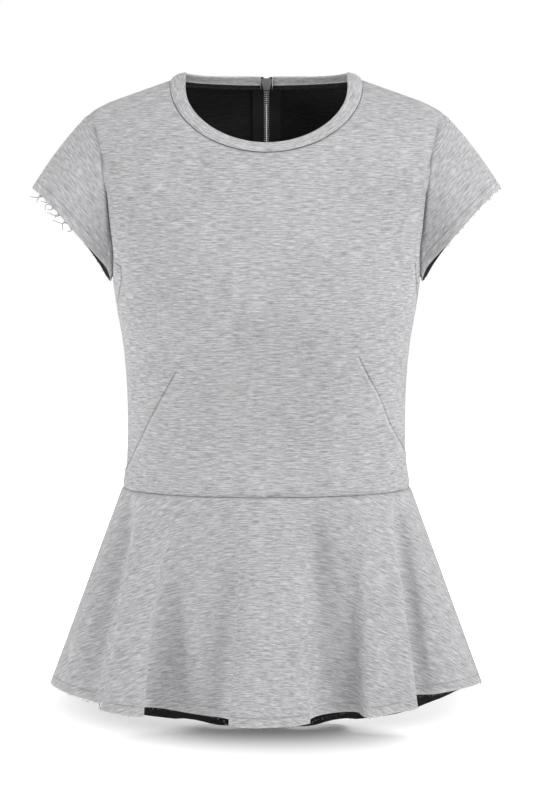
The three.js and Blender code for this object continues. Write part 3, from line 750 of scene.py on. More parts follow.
@dataclass(frozen=True)
class HeatherKnit:
    """Grey heather face of the bonded knit."""

    name: str = "heather_knit"
    dark: Colour = (0.335, 0.335, 0.345, 1)
    light: Colour = (0.700, 0.700, 0.712, 1)
    # shadow is the tint of the painted shade; pale is the tint of the painted highlight beside the darts and
    # of the paler raw edge.
    shadow: Colour = (0.16, 0.16, 0.17, 1)
    pale: Colour = (0.76, 0.76, 0.77, 1)
    hem_line: float = 0.0
    seams: bool = True
    lines: tuple[SewnLine, ...] = ()
    # Reaches in metres and strengths: seam_shades paint shade along the seams, line_shade along the sewn
    # lines and hem_shade in the line above a raw hem; ridge_light paints a highlight on a dart's raised
    # edge, and edge_light makes the raw edge paler.
    seam_shades: tuple[Pair, ...] = ((0.0019, 0.50), (0.0034, 0.66), (0.008, 0.10))
    line_shade: float = 0.62
    ridge_light: float = 0.20
    hem_shade: Pair = (0.0013, 0.09)
    edge_light: Pair = (0.0028, 0.40)
    grain: Pair = (0.35, 0.0006)
    sink: Pair = (0.8, 0.0008)

    def build(self) -> Material:
        """Makes the material, with painted shade along its sewn lines, its seams and the faint line above a
        raw hem, a painted highlight beside the darts and a paler raw edge.
        """
        material, tree, shader = new_material(self.name)
        group = heather_node(tree, self.dark, self.light)
        colour = group.outputs["Colour"]
        fine = group.outputs["Height"]
        sunk: list[Socket] = []
        # Painted shade along the seams: darker close to each seam, and faintly a little further out.
        if self.seams:
            parts = new_node(tree, "ShaderNodeSeparateXYZ")
            link(tree, uv_of(tree, "seam"), parts.inputs[0])
            near = math_node(tree, "MINIMUM", parts.outputs[0], parts.outputs[1])
            for away, (reach, most) in zip((parts.outputs[0], parts.outputs[1], near), self.seam_shades):
                colour = self.tinted(tree, colour, self.shadow, near_mask(tree, away, reach), most)
        for line in self.lines:
            sewn = new_node(tree, "ShaderNodeGroup", node_tree=sewn_line_group())
            link(tree, uv_of(tree, "view"), sewn.inputs["Place"])
            sewn.inputs["Start"].default_value = (line.start[0] * MM, line.start[1] * MM, 0)
            sewn.inputs["End"].default_value = (line.end[0] * MM, line.end[1] * MM, 0)
            sewn.inputs["Side"].default_value = line.side
            sewn.inputs["Fade"].default_value = line.fade
            deep, ridge = sewn.outputs["Line"], sewn.outputs["Rise"]
            # Painted shade along the sewn line, and a painted highlight on the raised edge beside a dart.
            colour = self.tinted(tree, colour, self.shadow, deep, self.line_shade)
            if line.side:
                colour = self.tinted(tree, colour, self.pale, ridge, self.ridge_light)
                deep = math_node(tree, "SUBTRACT", deep, ridge)
            sunk.append(deep)
        if self.hem_line:
            parts = new_node(tree, "ShaderNodeSeparateXYZ")
            link(tree, uv_of(tree, "edge"), parts.inputs[0])
            away = math_node(tree, "ABSOLUTE", math_node(tree, "SUBTRACT", parts.outputs[1], self.hem_line))
            # Painted shade in the faint line above the raw hem, and a paler band along the raw edge.
            line_mask = near_mask(tree, away, self.hem_shade[0])
            colour = self.tinted(tree, colour, self.shadow, line_mask, self.hem_shade[1])
            edge = near_mask(tree, parts.outputs[1], self.edge_light[0])
            colour = self.tinted(tree, colour, self.pale, edge, self.edge_light[1])
            sunk.append(line_mask)
        link(tree, colour, shader.inputs["Base Color"])
        normal = bump_of(tree, fine, *self.grain)
        for deep in sunk:
            bump = new_node(tree, "ShaderNodeBump", invert=True)
            bump.inputs["Strength"].default_value, bump.inputs["Distance"].default_value = self.sink
            link(tree, deep, bump.inputs["Height"])
            link(tree, normal, bump.inputs["Normal"])
            normal = bump.outputs["Normal"]
        link(tree, normal, shader.inputs["Normal"])
        shader.inputs["Roughness"].default_value = 0.95
        shader.inputs["Specular IOR Level"].default_value = 0.12
        shader.inputs["Sheen Weight"].default_value = 0.08
        shader.inputs["Sheen Roughness"].default_value = 0.5
        return material

    def tinted(self, tree: Tree, colour: Socket, tint: Colour, mask: Socket, strength: float) -> Socket:
        """Blends a colour towards a tint.

        Args:
            tree: The tree it goes in.
            colour: The colour so far.
            tint: The colour to go towards.
            mask: Where it does.
            strength: How far it goes at most.

        Returns:
            The blended colour's socket.
        """
        return blend(tree, math_node(tree, "MULTIPLY", mask, strength), colour, tint)


@dataclass(frozen=True)
class BlackReverse:
    """Black reverse of the bonded knit."""

    name: str = "black_reverse"
    dark: Colour = (0.0200, 0.0200, 0.0204, 1)
    light: Colour = (0.0440, 0.0440, 0.0446, 1)

    def build(self) -> Material:
        """Makes the material."""
        material, tree, shader = new_material(self.name)
        group = heather_node(tree, self.dark, self.light)
        link(tree, group.outputs["Colour"], shader.inputs["Base Color"])
        link(tree, bump_of(tree, group.outputs["Height"], 0.4, 0.0006), shader.inputs["Normal"])
        shader.inputs["Roughness"].default_value = 0.92
        shader.inputs["Specular IOR Level"].default_value = 0.15
        shader.inputs["Sheen Weight"].default_value = 0.05
        return material


@dataclass(frozen=True)
class WovenTape:
    """Black woven tape of the zip, ribbed along its length."""

    name: str = "zip_tape"
    dark: Colour = (0.0230, 0.0230, 0.0235, 1)
    light: Colour = (0.048, 0.048, 0.049, 1)
    ribs: float = 900.0

    def build(self) -> Material:
        """Makes the material."""
        material, tree, shader = new_material(self.name)
        wave = new_node(tree, "ShaderNodeTexWave", wave_type="BANDS", bands_direction="DIAGONAL")
        wave.inputs["Scale"].default_value = self.ribs / 2
        wave.inputs["Distortion"].default_value = 0.6
        link(tree, uv_of(tree, "cut"), wave.inputs["Vector"])
        colour = blend(tree, wave.outputs["Fac"], self.dark, self.light)
        link(tree, colour, shader.inputs["Base Color"])
        link(tree, bump_of(tree, wave.outputs["Fac"], 0.4, 0.0002), shader.inputs["Normal"])
        shader.inputs["Roughness"].default_value = 0.75
        shader.inputs["Specular IOR Level"].default_value = 0.3
        return material


@dataclass(frozen=True)
class PolishedMetal:
    """Nickel-coloured metal of the zip."""

    name: str = "zip_metal"
    colour: Colour = (0.93, 0.92, 0.91, 1)
    roughness: float = 0.30
    metallic: float = 0.30
    # Painted highlight: the paler metal above one height, on the top corners of the slider.
    highlight_tone: Colour = (0.97, 0.96, 0.95, 1)
    dulled: float = 0.86
    highlight_from: float = 1.0
    highlight_over: float = 0.0018
    rub_scale: float = 900.0
    rubbed: Pair = (0.08, 0.14)

    def build(self) -> Material:
        """Makes the material, with faint rubbing marks in its gloss and a painted highlight: paler metal
        above one height.
        """
        material, tree, shader = new_material(self.name)
        place = new_node(tree, "ShaderNodeTexCoord").outputs["Object"]
        noise = even_noise(tree, place, self.rub_scale, 3.0)
        rough = new_node(tree, "ShaderNodeMapRange")
        rough.inputs["To Min"].default_value = self.roughness - self.rubbed[0]
        rough.inputs["To Max"].default_value = self.roughness + self.rubbed[1]
        link(tree, noise, rough.inputs["Value"])
        link(tree, rough.outputs["Result"], shader.inputs["Roughness"])
        dull = tuple(self.dulled * c for c in self.colour[:3]) + (1,)
        tint = blend(tree, noise, dull, self.colour)
        # Painted highlight: the colour turns paler above one height.
        height = new_node(tree, "ShaderNodeSeparateXYZ")
        link(tree, place, height.inputs[0])
        highlight_share = new_node(tree, "ShaderNodeMapRange", interpolation_type="SMOOTHSTEP")
        highlight_share.inputs["From Min"].default_value = self.highlight_from
        highlight_share.inputs["From Max"].default_value = self.highlight_from + self.highlight_over
        link(tree, height.outputs[2], highlight_share.inputs["Value"])
        link(tree, blend(tree, highlight_share.outputs["Result"], tint, self.highlight_tone), shader.inputs["Base Color"])
        link(tree, bump_of(tree, noise, 0.15, 0.0001), shader.inputs["Normal"])
        shader.inputs["Metallic"].default_value = self.metallic
        return material


@dataclass(frozen=True)
class FrayedYarn:
    """Pale grey yarn that stands out of the raw hems."""

    name: str = "frayed_yarn"
    dark: Colour = (0.05, 0.05, 0.052, 1)
    light: Colour = (0.34, 0.34, 0.35, 1)
    spots: float = 260.0

    def build(self) -> Material:
        """Makes the material."""
        material, tree, shader = new_material(self.name)
        place = new_node(tree, "ShaderNodeTexCoord").outputs["Object"]
        noise = even_noise(tree, place, self.spots)
        link(tree, blend(tree, noise, self.dark, self.light), shader.inputs["Base Color"])
        shader.inputs["Roughness"].default_value = 0.95
        shader.inputs["Sheen Weight"].default_value = 0.1
        return material


def front_lines() -> tuple[SewnLine, ...]:
    """Lines of painted shade: the darts, and the side seams where they come forward under the arms."""
    made: list[SewnLine] = []
    for dart in DARTS:
        pairs = list(zip(dart.line, dart.line[1:]))
        for k, (a, b) in enumerate(pairs):
            made.append(SewnLine(a, b, -dart.ridge_side, 1.0 if k == len(pairs) - 1 else 0.0))
    for line in UNDERARM_LINES:
        made += [SewnLine(a, b) for a, b in zip(line, line[1:])]
    return tuple(made)


@dataclass
class Wardrobe:
    """The finishes, made once and shared by the pieces."""

    knit: Material = field(default_factory=lambda: HeatherKnit().build())
    # The front, with painted shade along its darts and underarm seams.
    front: Material = field(
        default_factory=lambda: HeatherKnit(name="heather_knit_front", lines=front_lines()).build()
    )
    # Sleeves and peplum, with painted shade in a line 9 mm above the raw hem.
    hemmed: Material = field(
        default_factory=lambda: HeatherKnit(name="heather_knit_hemmed", hem_line=0.009).build()
    )
    band: Material = field(
        default_factory=lambda: HeatherKnit(
            name="band_knit", dark=(0.37, 0.37, 0.38, 1), light=(0.70, 0.70, 0.71, 1), seams=False
        ).build()
    )
    band_edge: Material = field(
        default_factory=lambda: HeatherKnit(
            name="band_edge", dark=(0.52, 0.52, 0.53, 1), light=(0.80, 0.80, 0.81, 1), seams=False
        ).build()
    )
    reverse: Material = field(default_factory=lambda: BlackReverse().build())
    tape: Material = field(default_factory=lambda: WovenTape().build())
    metal: Material = field(default_factory=lambda: PolishedMetal().build())
    # The slider's metal, with a painted highlight on its top corners.
    slider: Material = field(
        default_factory=lambda: PolishedMetal(
            name="slider_metal", colour=(0.40, 0.385, 0.375, 1), highlight_from=0.0035
        ).build()
    )
    yarn: Material = field(default_factory=lambda: FrayedYarn().build())

    def wall(self, face: Material) -> list[Material]:
        """Materials of a cloth wall in the order of Face."""
        return [face, self.reverse, face, self.reverse]


@dataclass(frozen=True)
class Cut:
    """How a cloth piece was cut and how it hangs."""

    width: float
    length: float
    area: float
    rests_on: tuple[str, ...] = ()

    def declare(self, piece: Piece, extra: Sequence[Piece] = ()) -> None:
        """Takes the piece and its extra pieces, and does nothing with them."""


def dress(piece: Piece, node: str, body: str = "garment") -> Piece:
    """Puts a piece on its body, in place of its solid.

    Args:
        piece: The piece.
        node: The solid that it stands for.
        body: The body that it rides on.

    Returns:
        The piece.
    """
    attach(piece, body)
    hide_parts(node)
    LOG.info("%s: %d faces", piece.name, len(piece.data.polygons))
    return piece


def row_shares(rows: int, ease: float, seam_rows: Sequence[float]) -> Array:
    """Shares of the way up a column: close together near the top, and a few near the foot."""
    free = 1 - (1 - np.linspace(0, 1, rows)) ** ease
    return np.unique(np.concatenate([free[free > seam_rows[-1] * 1.6], [0.0], seam_rows]))


SEAM_ROWS = (0.002, 0.004, 0.0065, 0.010, 0.015)


# ---------------------------------------------------------------- bodice


@dataclass
class FrontBodice:
    """Front of the bodice, from side seam to side seam, with its two darts."""

    neck_columns: int = 44
    shoulder_columns: int = 14
    armhole_columns: int = 46
    rows: int = 150
    darts: tuple[Dart, ...] = DARTS
    creases: tuple[Crease, ...] = (
        Crease("drag from the right underarm", (-140, -205), (-95, -245), 9, -0.9, 4),
        Crease("drag beside it", (-142, -225), (-104, -262), 8, 0.7, 3),
        Crease("drag from the left underarm", (141, -208), (100, -240), 9, -0.8, -3),
        Crease("soft fold above the waist, right", (-120, -392), (-62, -372), 10, -0.9, 3),
        Crease("soft fold above the waist, left", (118, -388), (52, -370), 11, -0.8, -4),
        Crease("ease across the waist", (-40, -384), (34, -380), 12, 0.7, 2),
        Crease("drape from the right shoulder", (-128, -40), (-112, -118), 9, 0.8, 3),
        Crease("drape from the left shoulder", (131, -42), (116, -110), 9, 0.7, -3),
    )
    cut: Cut = Cut(0.46, 0.42, 0.146)

    def half_columns(self) -> tuple[Array, Array, Array]:
        """Top angle, top height and foot angle of each column on the wearer's left."""
        neck = np.linspace(0, math.pi / 2, self.neck_columns)
        neck_angle, neck_z = BODY.neckline(neck, False)
        xs = np.linspace(BODY.neck_half, BODY.tip_x, self.shoulder_columns + 1)[1:]
        ridge = BODY.ridge(xs)
        ridge_angle = BODY.angle_at(xs, ridge, np.zeros(len(xs), bool))
        turns = np.linspace(0, math.pi, self.armhole_columns + 1)[1:]
        arm_angle, arm_z = BODY.armhole(turns)
        foot = np.concatenate(
            [
                np.radians(34) * neck / (math.pi / 2),
                np.radians(np.linspace(34, 60, self.shoulder_columns + 1)[1:]),
                np.radians(np.linspace(60, 90, self.armhole_columns + 1)[1:]),
            ]
        )
        return (
            np.concatenate([neck_angle, ridge_angle, arm_angle]),
            np.concatenate([neck_z, ridge, arm_z]),
            foot,
        )

    def build(self, finishes: Wardrobe) -> Piece:
        """Makes the front of the bodice."""
        top_angle, top_z, foot = self.half_columns()
        top_angle = np.concatenate([-top_angle[:0:-1], top_angle])
        top_z = np.concatenate([top_z[:0:-1], top_z])
        foot = np.concatenate([-foot[:0:-1], foot])
        share = row_shares(self.rows, 1.8, SEAM_ROWS)[:, None]
        z = lerp(BODY.waist_z, top_z[None], share)
        angle = lerp(foot[None], top_angle[None], share)
        grid = bodice_grid(angle, z, 0.0)
        x = grid.outer[..., 0]
        lift = sum(dart.lift(x, z) for dart in self.darts) + lifted(self.creases, x, z)
        grid.outer = grid.outer + unit(grid.offset) * lift[..., None]
        sink_seams(grid, True)
        piece = grid.build("front_bodice_cloth", finishes.wall(finishes.front))
        self.cut.declare(dress(piece, "front_bodice"))
        return piece


def armhole_gap(points: Array) -> Array:
    """Distance from each point of the bodice to the nearer armhole."""
    ring = BODY.point(*BODY.armhole(np.linspace(0, math.tau, 720)))
    flat = points * np.where(points[..., :1] < 0, [-1, 1, 1], [1, 1, 1])
    return np.stack([np.linalg.norm(row[:, None] - ring[None], axis=-1).min(axis=1) for row in flat])


def bodice_grid(angle: Array, z: Array, centre: float) -> ClothGrid:
    """Grid of a bodice panel with its mitred rims and its flat cut.

    Args:
        angle: Angle of each node from centre front.
        z: Height of each node.
        centre: Angle of the line that the cut is measured from.

    Returns:
        The grid, drawn back from its seams.
    """
    points = BODY.point(angle, z)
    offset = BODY.normal(angle, z)
    offset[0] = BODY.level_normal(angle[0], z[0])
    up, across = along(points, 0), along(points, 1)
    cut = np.stack([arc_from_centre(angle, z, centre), up], axis=-1) * MM
    level = np.minimum(up, up[-1:] - up)
    sides = np.minimum(np.minimum(across, across[:, -1:] - across), armhole_gap(points))
    seam = np.stack([level, sides], axis=-1) * MM
    view = np.stack([points[..., 0], z], axis=-1) * MM
    grid = ClothGrid(points, offset, cut, np.ones(cut.shape), seam, view)
    grid.inset(0, 1)
    grid.inset(-1, -2)
    return grid


def sink_seams(grid: ClothGrid, both: bool) -> None:
    """Draws a bodice panel in along its seams; both says that its first side is a seam too."""
    up = along(grid.outer, 0)
    grid.roll_in(up, *WAIST_SINK)
    grid.roll_in(np.minimum(up[-1:] - up, armhole_gap(grid.outer)), *TOP_SINK)
    across = along(grid.outer, 1)
    if both:
        grid.roll_in(across, *SIDE_SINK)
    grid.roll_in(across[:, -1:] - across, *SIDE_SINK)


BACK_CREASES = {
    Side.LEFT: (
        Crease("drag from the underarm", (139, -206), (94, -250), 10, -1.0, 4),
        Crease("ease beside the zip", (20, -322), (62, -350), 11, -0.9, 3),
        Crease("soft fold above the waist", (114, -394), (38, -374), 11, -0.9, -4),
        Crease("drape from the shoulder", (120, -46), (100, -128), 10, 0.8, 3),
    ),
    Side.RIGHT: (
        Crease("drag from the underarm", (141, -212), (102, -262), 9, -0.9, -3),
        Crease("ease beside the zip", (18, -352), (54, -370), 10, -0.8, 3),
        Crease("soft fold above the waist", (118, -386), (56, -396), 12, -0.8, 3),
        Crease("drape from the shoulder", (112, -50), (106, -116), 9, 0.7, -3),
    ),
}


@dataclass
class BackBodice:
    """One half of the back of the bodice, beside the zip."""

    side: Side
    zip_edge: float = 6.3
    neck_columns: int = 26
    shoulder_columns: int = 12
    armhole_columns: int = 38
    rows: int = 110
    creases: tuple[Crease, ...] = ()
    cut: Cut = Cut(0.24, 0.44, 0.074)

    def build(self, finishes: Wardrobe) -> Piece:
        """Makes one half of the back."""
        first = math.pi - math.asin(self.zip_edge / BODY.neck_half)
        neck = np.linspace(first, math.pi / 2, self.neck_columns)
        neck_angle, neck_z = BODY.neckline(neck, True)
        xs = np.linspace(BODY.neck_half, BODY.tip_x, self.shoulder_columns + 1)[1:]
        ridge = BODY.ridge(xs)
        ridge_angle = BODY.angle_at(xs, ridge, np.ones(len(xs), bool))
        turns = np.linspace(2 * math.pi, math.pi, self.armhole_columns + 1)[1:]
        arm_angle, arm_z = BODY.armhole(turns)
        start = math.pi - math.asin(self.zip_edge / float(BODY.curve("half")(np.array(BODY.waist_z))))
        foot = np.concatenate(
            [
                np.linspace(start, math.radians(146), self.neck_columns),
                np.radians(np.linspace(146, 122, self.shoulder_columns + 1)[1:]),
                np.radians(np.linspace(122, 90, self.armhole_columns + 1)[1:]),
            ]
        )
        top_angle = np.concatenate([neck_angle, ridge_angle, arm_angle])
        top_z = np.concatenate([neck_z, ridge, arm_z])
        share = row_shares(self.rows, 1.8, SEAM_ROWS)[:, None]
        z = lerp(BODY.waist_z, top_z[None], share)
        angle = lerp(foot[None], top_angle[None], share)
        angle[:, 0] = BODY.angle_at(np.full(len(z), self.zip_edge), z[:, 0], np.ones(len(z), bool))
        grid = bodice_grid(angle, z, math.pi)
        lift = lifted(self.creases, grid.outer[..., 0], z)
        grid.outer = grid.outer + unit(grid.offset) * lift[..., None]
        sink_seams(grid, False)
        flip = np.array([self.side.value, 1, 1])
        grid.outer, grid.offset = grid.outer * flip, grid.offset * flip
        name = f"back_bodice_{self.side.name.lower()}"
        piece = grid.build(f"{name}_cloth", finishes.wall(finishes.knit))
        self.cut.declare(dress(piece, name))
        return piece


# ---------------------------------------------------------------- sleeves


@dataclass
class Sleeve:
    """A short cap sleeve with a raw hem."""

    side: Side
    underarm: Pair = (156.0, -200.0)
    tip: Pair = (233.0, -106.0)
    half_depth: float = 52.0
    hem_rows: tuple[Pair, ...] = (
        (0, 0),
        (40, -4.2),
        (65, -6.6),
        (90, -8.0),
        (120, -9.0),
        (140, -8.5),
        (160, -4.5),
        (180, -1.5),
        (205, 0.4),
        (225, -0.6),
        (250, -1.6),
        (275, -1.2),
        (300, -0.5),
        (330, 0),
        (360, 0),
    )
    bulge: float = 2.2
    columns: int = 150
    rows: int = 34
    creases: tuple[Crease, ...] = ()
    cut: Cut = Cut(0.36, 0.10, 0.0187, ("front_bodice_cloth",))

    def __post_init__(self) -> None:
        """Reads how far the hem lies past its flat ring, and which way the ring faces."""
        self.past = smooth_table([row[0] for row in self.hem_rows], [row[1] for row in self.hem_rows])
        self.outward = unit(np.array([self.tip[1] - self.underarm[1], 0, self.underarm[0] - self.tip[0]]))

    def hem(self, turn: Array) -> Array:
        """Hem ring, in the turns of the armhole."""
        middle = np.array([(self.underarm[0] + self.tip[0]) / 2, 0, (self.underarm[1] + self.tip[1]) / 2])
        half = np.array([self.tip[0] - middle[0], 0, self.tip[1] - middle[2]])
        front = np.sin(turn)[..., None]
        shift = self.past(np.clip(np.degrees(turn), 0, 360))[..., None]
        depth = front * np.array([0, -self.half_depth, 0])
        return middle + half * np.cos(turn)[..., None] + self.outward * shift + depth

    def point(self, turn: Array, share: Array) -> Array:
        """Outer face of the sleeve on the wearer's left."""
        turn, share = np.broadcast_arrays(np.asarray(turn, float), np.asarray(share, float))
        start = BODY.point(*BODY.armhole(turn))
        lift = self.bulge * np.sin(np.pi * share) * np.maximum(0, np.cos(turn))
        rise = np.stack([0.6 * lift, np.zeros_like(lift), lift], axis=-1)
        return lerp(start, self.hem(turn), share[..., None]) + rise

    def normal(self, turn: Array, share: Array) -> Array:
        """Outward normal of the sleeve."""
        turn = np.where(turn < 1e-6, 1e-3, turn)
        around = self.point(turn + 2e-3, share) - self.point(turn - 1e-3, share)
        down = self.point(turn, np.minimum(1, share + 0.01)) - self.point(turn, np.maximum(0, share - 0.01))
        return unit(np.cross(around, down))

    def mitre(self, turn: Array) -> Array:
        """Direction across the wall where the sleeve meets the bodice."""
        body = BODY.normal(*BODY.armhole(turn))
        mitre = unit(body + self.normal(turn, np.full(turn.shape, 0.05)))
        stretch = 1 / np.maximum(0.5, (mitre * body).sum(axis=-1, keepdims=True))
        return mitre * np.minimum(1.5, stretch)

    def build(self, finishes: Wardrobe) -> Piece:
        """Makes the sleeve, with its seam drawn in and its hem raw."""
        turn = np.linspace(0, 2 * math.pi, self.columns + 1)[:-1]
        share = np.concatenate([[0, 0.01, 0.022, 0.04], np.linspace(0.06, 0.97, self.rows), [1.0]])
        turns, shares = np.meshgrid(turn, share)
        points = self.point(turns, shares)
        offset = self.normal(turns, shares)
        offset[0] = self.mitre(turn)
        length = along(points, 0)
        around = along(np.concatenate([points, points[:, :1]], axis=1), 1)[:, :-1]
        cut = np.stack([around, -points @ self.outward], axis=-1) * MM
        edge = np.stack([around, length[-1:] - length], axis=-1) * MM
        seam = np.stack([np.full(length.shape, 1000.0), length], axis=-1) * MM
        grid = ClothGrid(points, offset, cut, edge, seam, cut, closed=True)
        grid.inset(0, 1)
        lift = lifted(self.creases, np.degrees(turns), shares)
        grid.outer = grid.outer + unit(offset) * lift[..., None]
        grid.roll_in(length, 1.0, 2.2)
        flip = np.array([self.side.value, 1, 1])
        grid.outer, grid.offset = grid.outer * flip, grid.offset * flip
        name = f"sleeve_{self.side.name.lower()}"
        piece = grid.build(f"{name}_cloth", finishes.wall(finishes.hemmed))
        return dress(piece, name)


# ---------------------------------------------------------------- neck band


@dataclass
class NeckBand:
    """Folded band round the neck, open at centre back."""

    zip_edge: float = 6.3
    thickness: float = 3.0
    proud: float = 0.5
    columns: int = 130
    fold_points: int = 9
    lining: float = 2.6
    seam_rise: float = 7.5
    front_rise: float = 1.9
    back_rise: float = 4.3
    front_lean: float = 6.0
    back_lean: float = 3.0
    shoulder_reach: float = 11.1
    corner_reach: float = 4.4
    corner_width: float = 17.0
    behind_rise: float = 1.7
    behind_at: float = 20.0
    behind_width: float = 22.0
    cut: Cut = Cut(0.56, 0.0165, 0.0085, ("front_bodice_cloth",))

    def rise(self, turn: Array) -> Array:
        """From the neckline seam to the top of the fold."""
        facing = np.cos(turn) ** 2
        front = np.cos(turn) > 0
        over = np.degrees(np.abs(turn)) - 90
        corner = np.exp(-((over / self.corner_width) ** 2))
        behind = np.exp(-(((over - self.behind_at) / self.behind_width) ** 2))
        lean = np.where(front, self.front_lean * facing, -self.back_lean * facing)
        lift = self.seam_rise + np.where(front, self.front_rise, self.back_rise) * facing
        lift = lift + self.behind_rise * behind
        ends = np.abs(np.abs(turn) - turn.max()) < 1e-6
        across = np.where(ends, 0, -self.shoulder_reach * np.sin(turn))
        across = across - np.sign(turn) * self.corner_reach * corner
        return np.stack([across, lean, lift], axis=-1)

    def seam(self, turn: Array) -> tuple[Array, Array]:
        """Neckline seam and its normal for signed turns."""
        size = np.abs(turn)
        front_angle, front_z = BODY.neckline(size, False)
        back_angle, back_z = BODY.neckline(size, True)
        behind = size > math.pi / 2 + 1e-9
        angle, z = np.where(behind, back_angle, front_angle), np.where(behind, back_z, front_z)
        flip = np.stack([np.where(turn < 0, -1.0, 1.0), np.ones_like(turn), np.ones_like(turn)], axis=-1)
        return BODY.point(angle, z) * flip, BODY.normal(angle, z) * flip

    def build(self, finishes: Wardrobe) -> Piece:
        """Makes the band as a strip folded over a rounded top."""
        last = math.pi - math.asin(self.zip_edge / BODY.neck_half)
        turn = np.linspace(-last, last, self.columns)
        point, normal = self.seam(turn)
        tangent = unit(np.gradient(point, axis=0))
        tangent[0], tangent[-1] = (1, 0, 0), (1, 0, 0)
        rise = self.rise(turn)
        face = unit(np.cross(tangent, rise))
        face *= np.sign((face * normal).sum(axis=-1, keepdims=True))
        away = unit(np.cross(tangent, normal))
        away *= np.sign((away * rise).sum(axis=-1, keepdims=True))
        length = np.linalg.norm(rise, axis=-1, keepdims=True)
        up = unit(rise)
        half = self.thickness / 2
        root = point + normal * (self.proud - half)
        foot = point + away * HALF_GAP
        side = length - half
        over = np.degrees(np.abs(turn)) - 90
        lining = (self.lining + 2.2 * np.sin(turn) ** 2) * np.clip((over + 12) / 14, 0, 1)
        lining = lining[:, None]
        round_over = 1.5 * np.exp(-((over / 20) ** 2))[:, None]
        soft = [foot + normal * (self.proud - 0.7), foot + away * 0.7 + normal * (self.proud - 0.1)]
        for share in (0.25, 0.5, 0.75):
            puff = (0.22 + round_over) * math.sin(math.pi * share)
            soft.append(root + up * side * share + face * (half + puff))
        for k in range(self.fold_points):
            bend = math.pi * k / (self.fold_points - 1)
            soft.append(root + up * (side + half * math.sin(bend)) + face * half * math.cos(bend))
        soft.append(root + up * (side * 0.6 + lining * 0.3) - face * (half + 0.15))
        soft.append(root + up * (lining + 1.5) - face * half)
        soft.append(root + up * (lining + 1.1) - face * (half + 0.25))
        soft.append(root + up * (lining + 0.6) - face * (half + 0.2))
        edge_top = len(soft) - 3
        soft.append(root + up * (lining + 0.45) - face * (half - 0.1))
        soft.append(foot + away * 0.3 + normal * (self.proud - self.thickness + 0.1))
        soft.append(foot + normal * (self.proud - self.thickness + 0.6))
        rings = np.stack(soft, axis=1)
        ring = rings.shape[1]
        count = len(turn)
        index = np.arange(count * ring).reshape(count, ring)
        wrapped = np.concatenate([index, index[:, :1]], axis=1)
        quads = np.stack(
            [wrapped[:-1, :-1], wrapped[1:, :-1], wrapped[1:, 1:], wrapped[:-1, 1:]], axis=-1
        ).reshape(-1, 4)
        flat = rings.reshape(-1, 3)
        normals = np.cross(flat[quads[:, 2]] - flat[quads[:, 0]], flat[quads[:, 3]] - flat[quads[:, 1]])
        centre = np.repeat(rings.mean(axis=1), ring, axis=0)[quads[:, 0]]
        turned = float((unit(normals) * unit(flat[quads[:, 0]] - centre)).sum()) < 0
        faces = [tuple(q) for q in (quads[:, ::-1] if turned else quads).tolist()]
        caps = [tuple(index[0].tolist()), tuple(index[-1][::-1].tolist())]
        faces += [tuple(reversed(c)) for c in caps] if turned else caps
        across = along(rings, 1)
        down = along(np.repeat(point[:, None], ring, axis=1), 0)
        cut = np.stack([down, across], axis=-1).reshape(-1, 2) * MM
        place = np.tile(np.arange(ring), count - 1)
        slots = np.where(place < edge_top, 0, np.where(place < edge_top + 2, 1, 2)).tolist() + [2, 2]
        piece = add_mesh(
            "neck_band_cloth",
            flat,
            faces,
            slots,
            [finishes.band, finishes.band_edge, finishes.reverse],
            {"cut": cut},
        )
        self.cut.declare(dress(piece, "neck_band"))
        return piece


# ---------------------------------------------------------------- peplum


@dataclass(frozen=True)
class HemFold:
    """A turning point of the hem seen from above: its angle from centre front and its reach."""

    fold: str
    angle: float
    reach: float


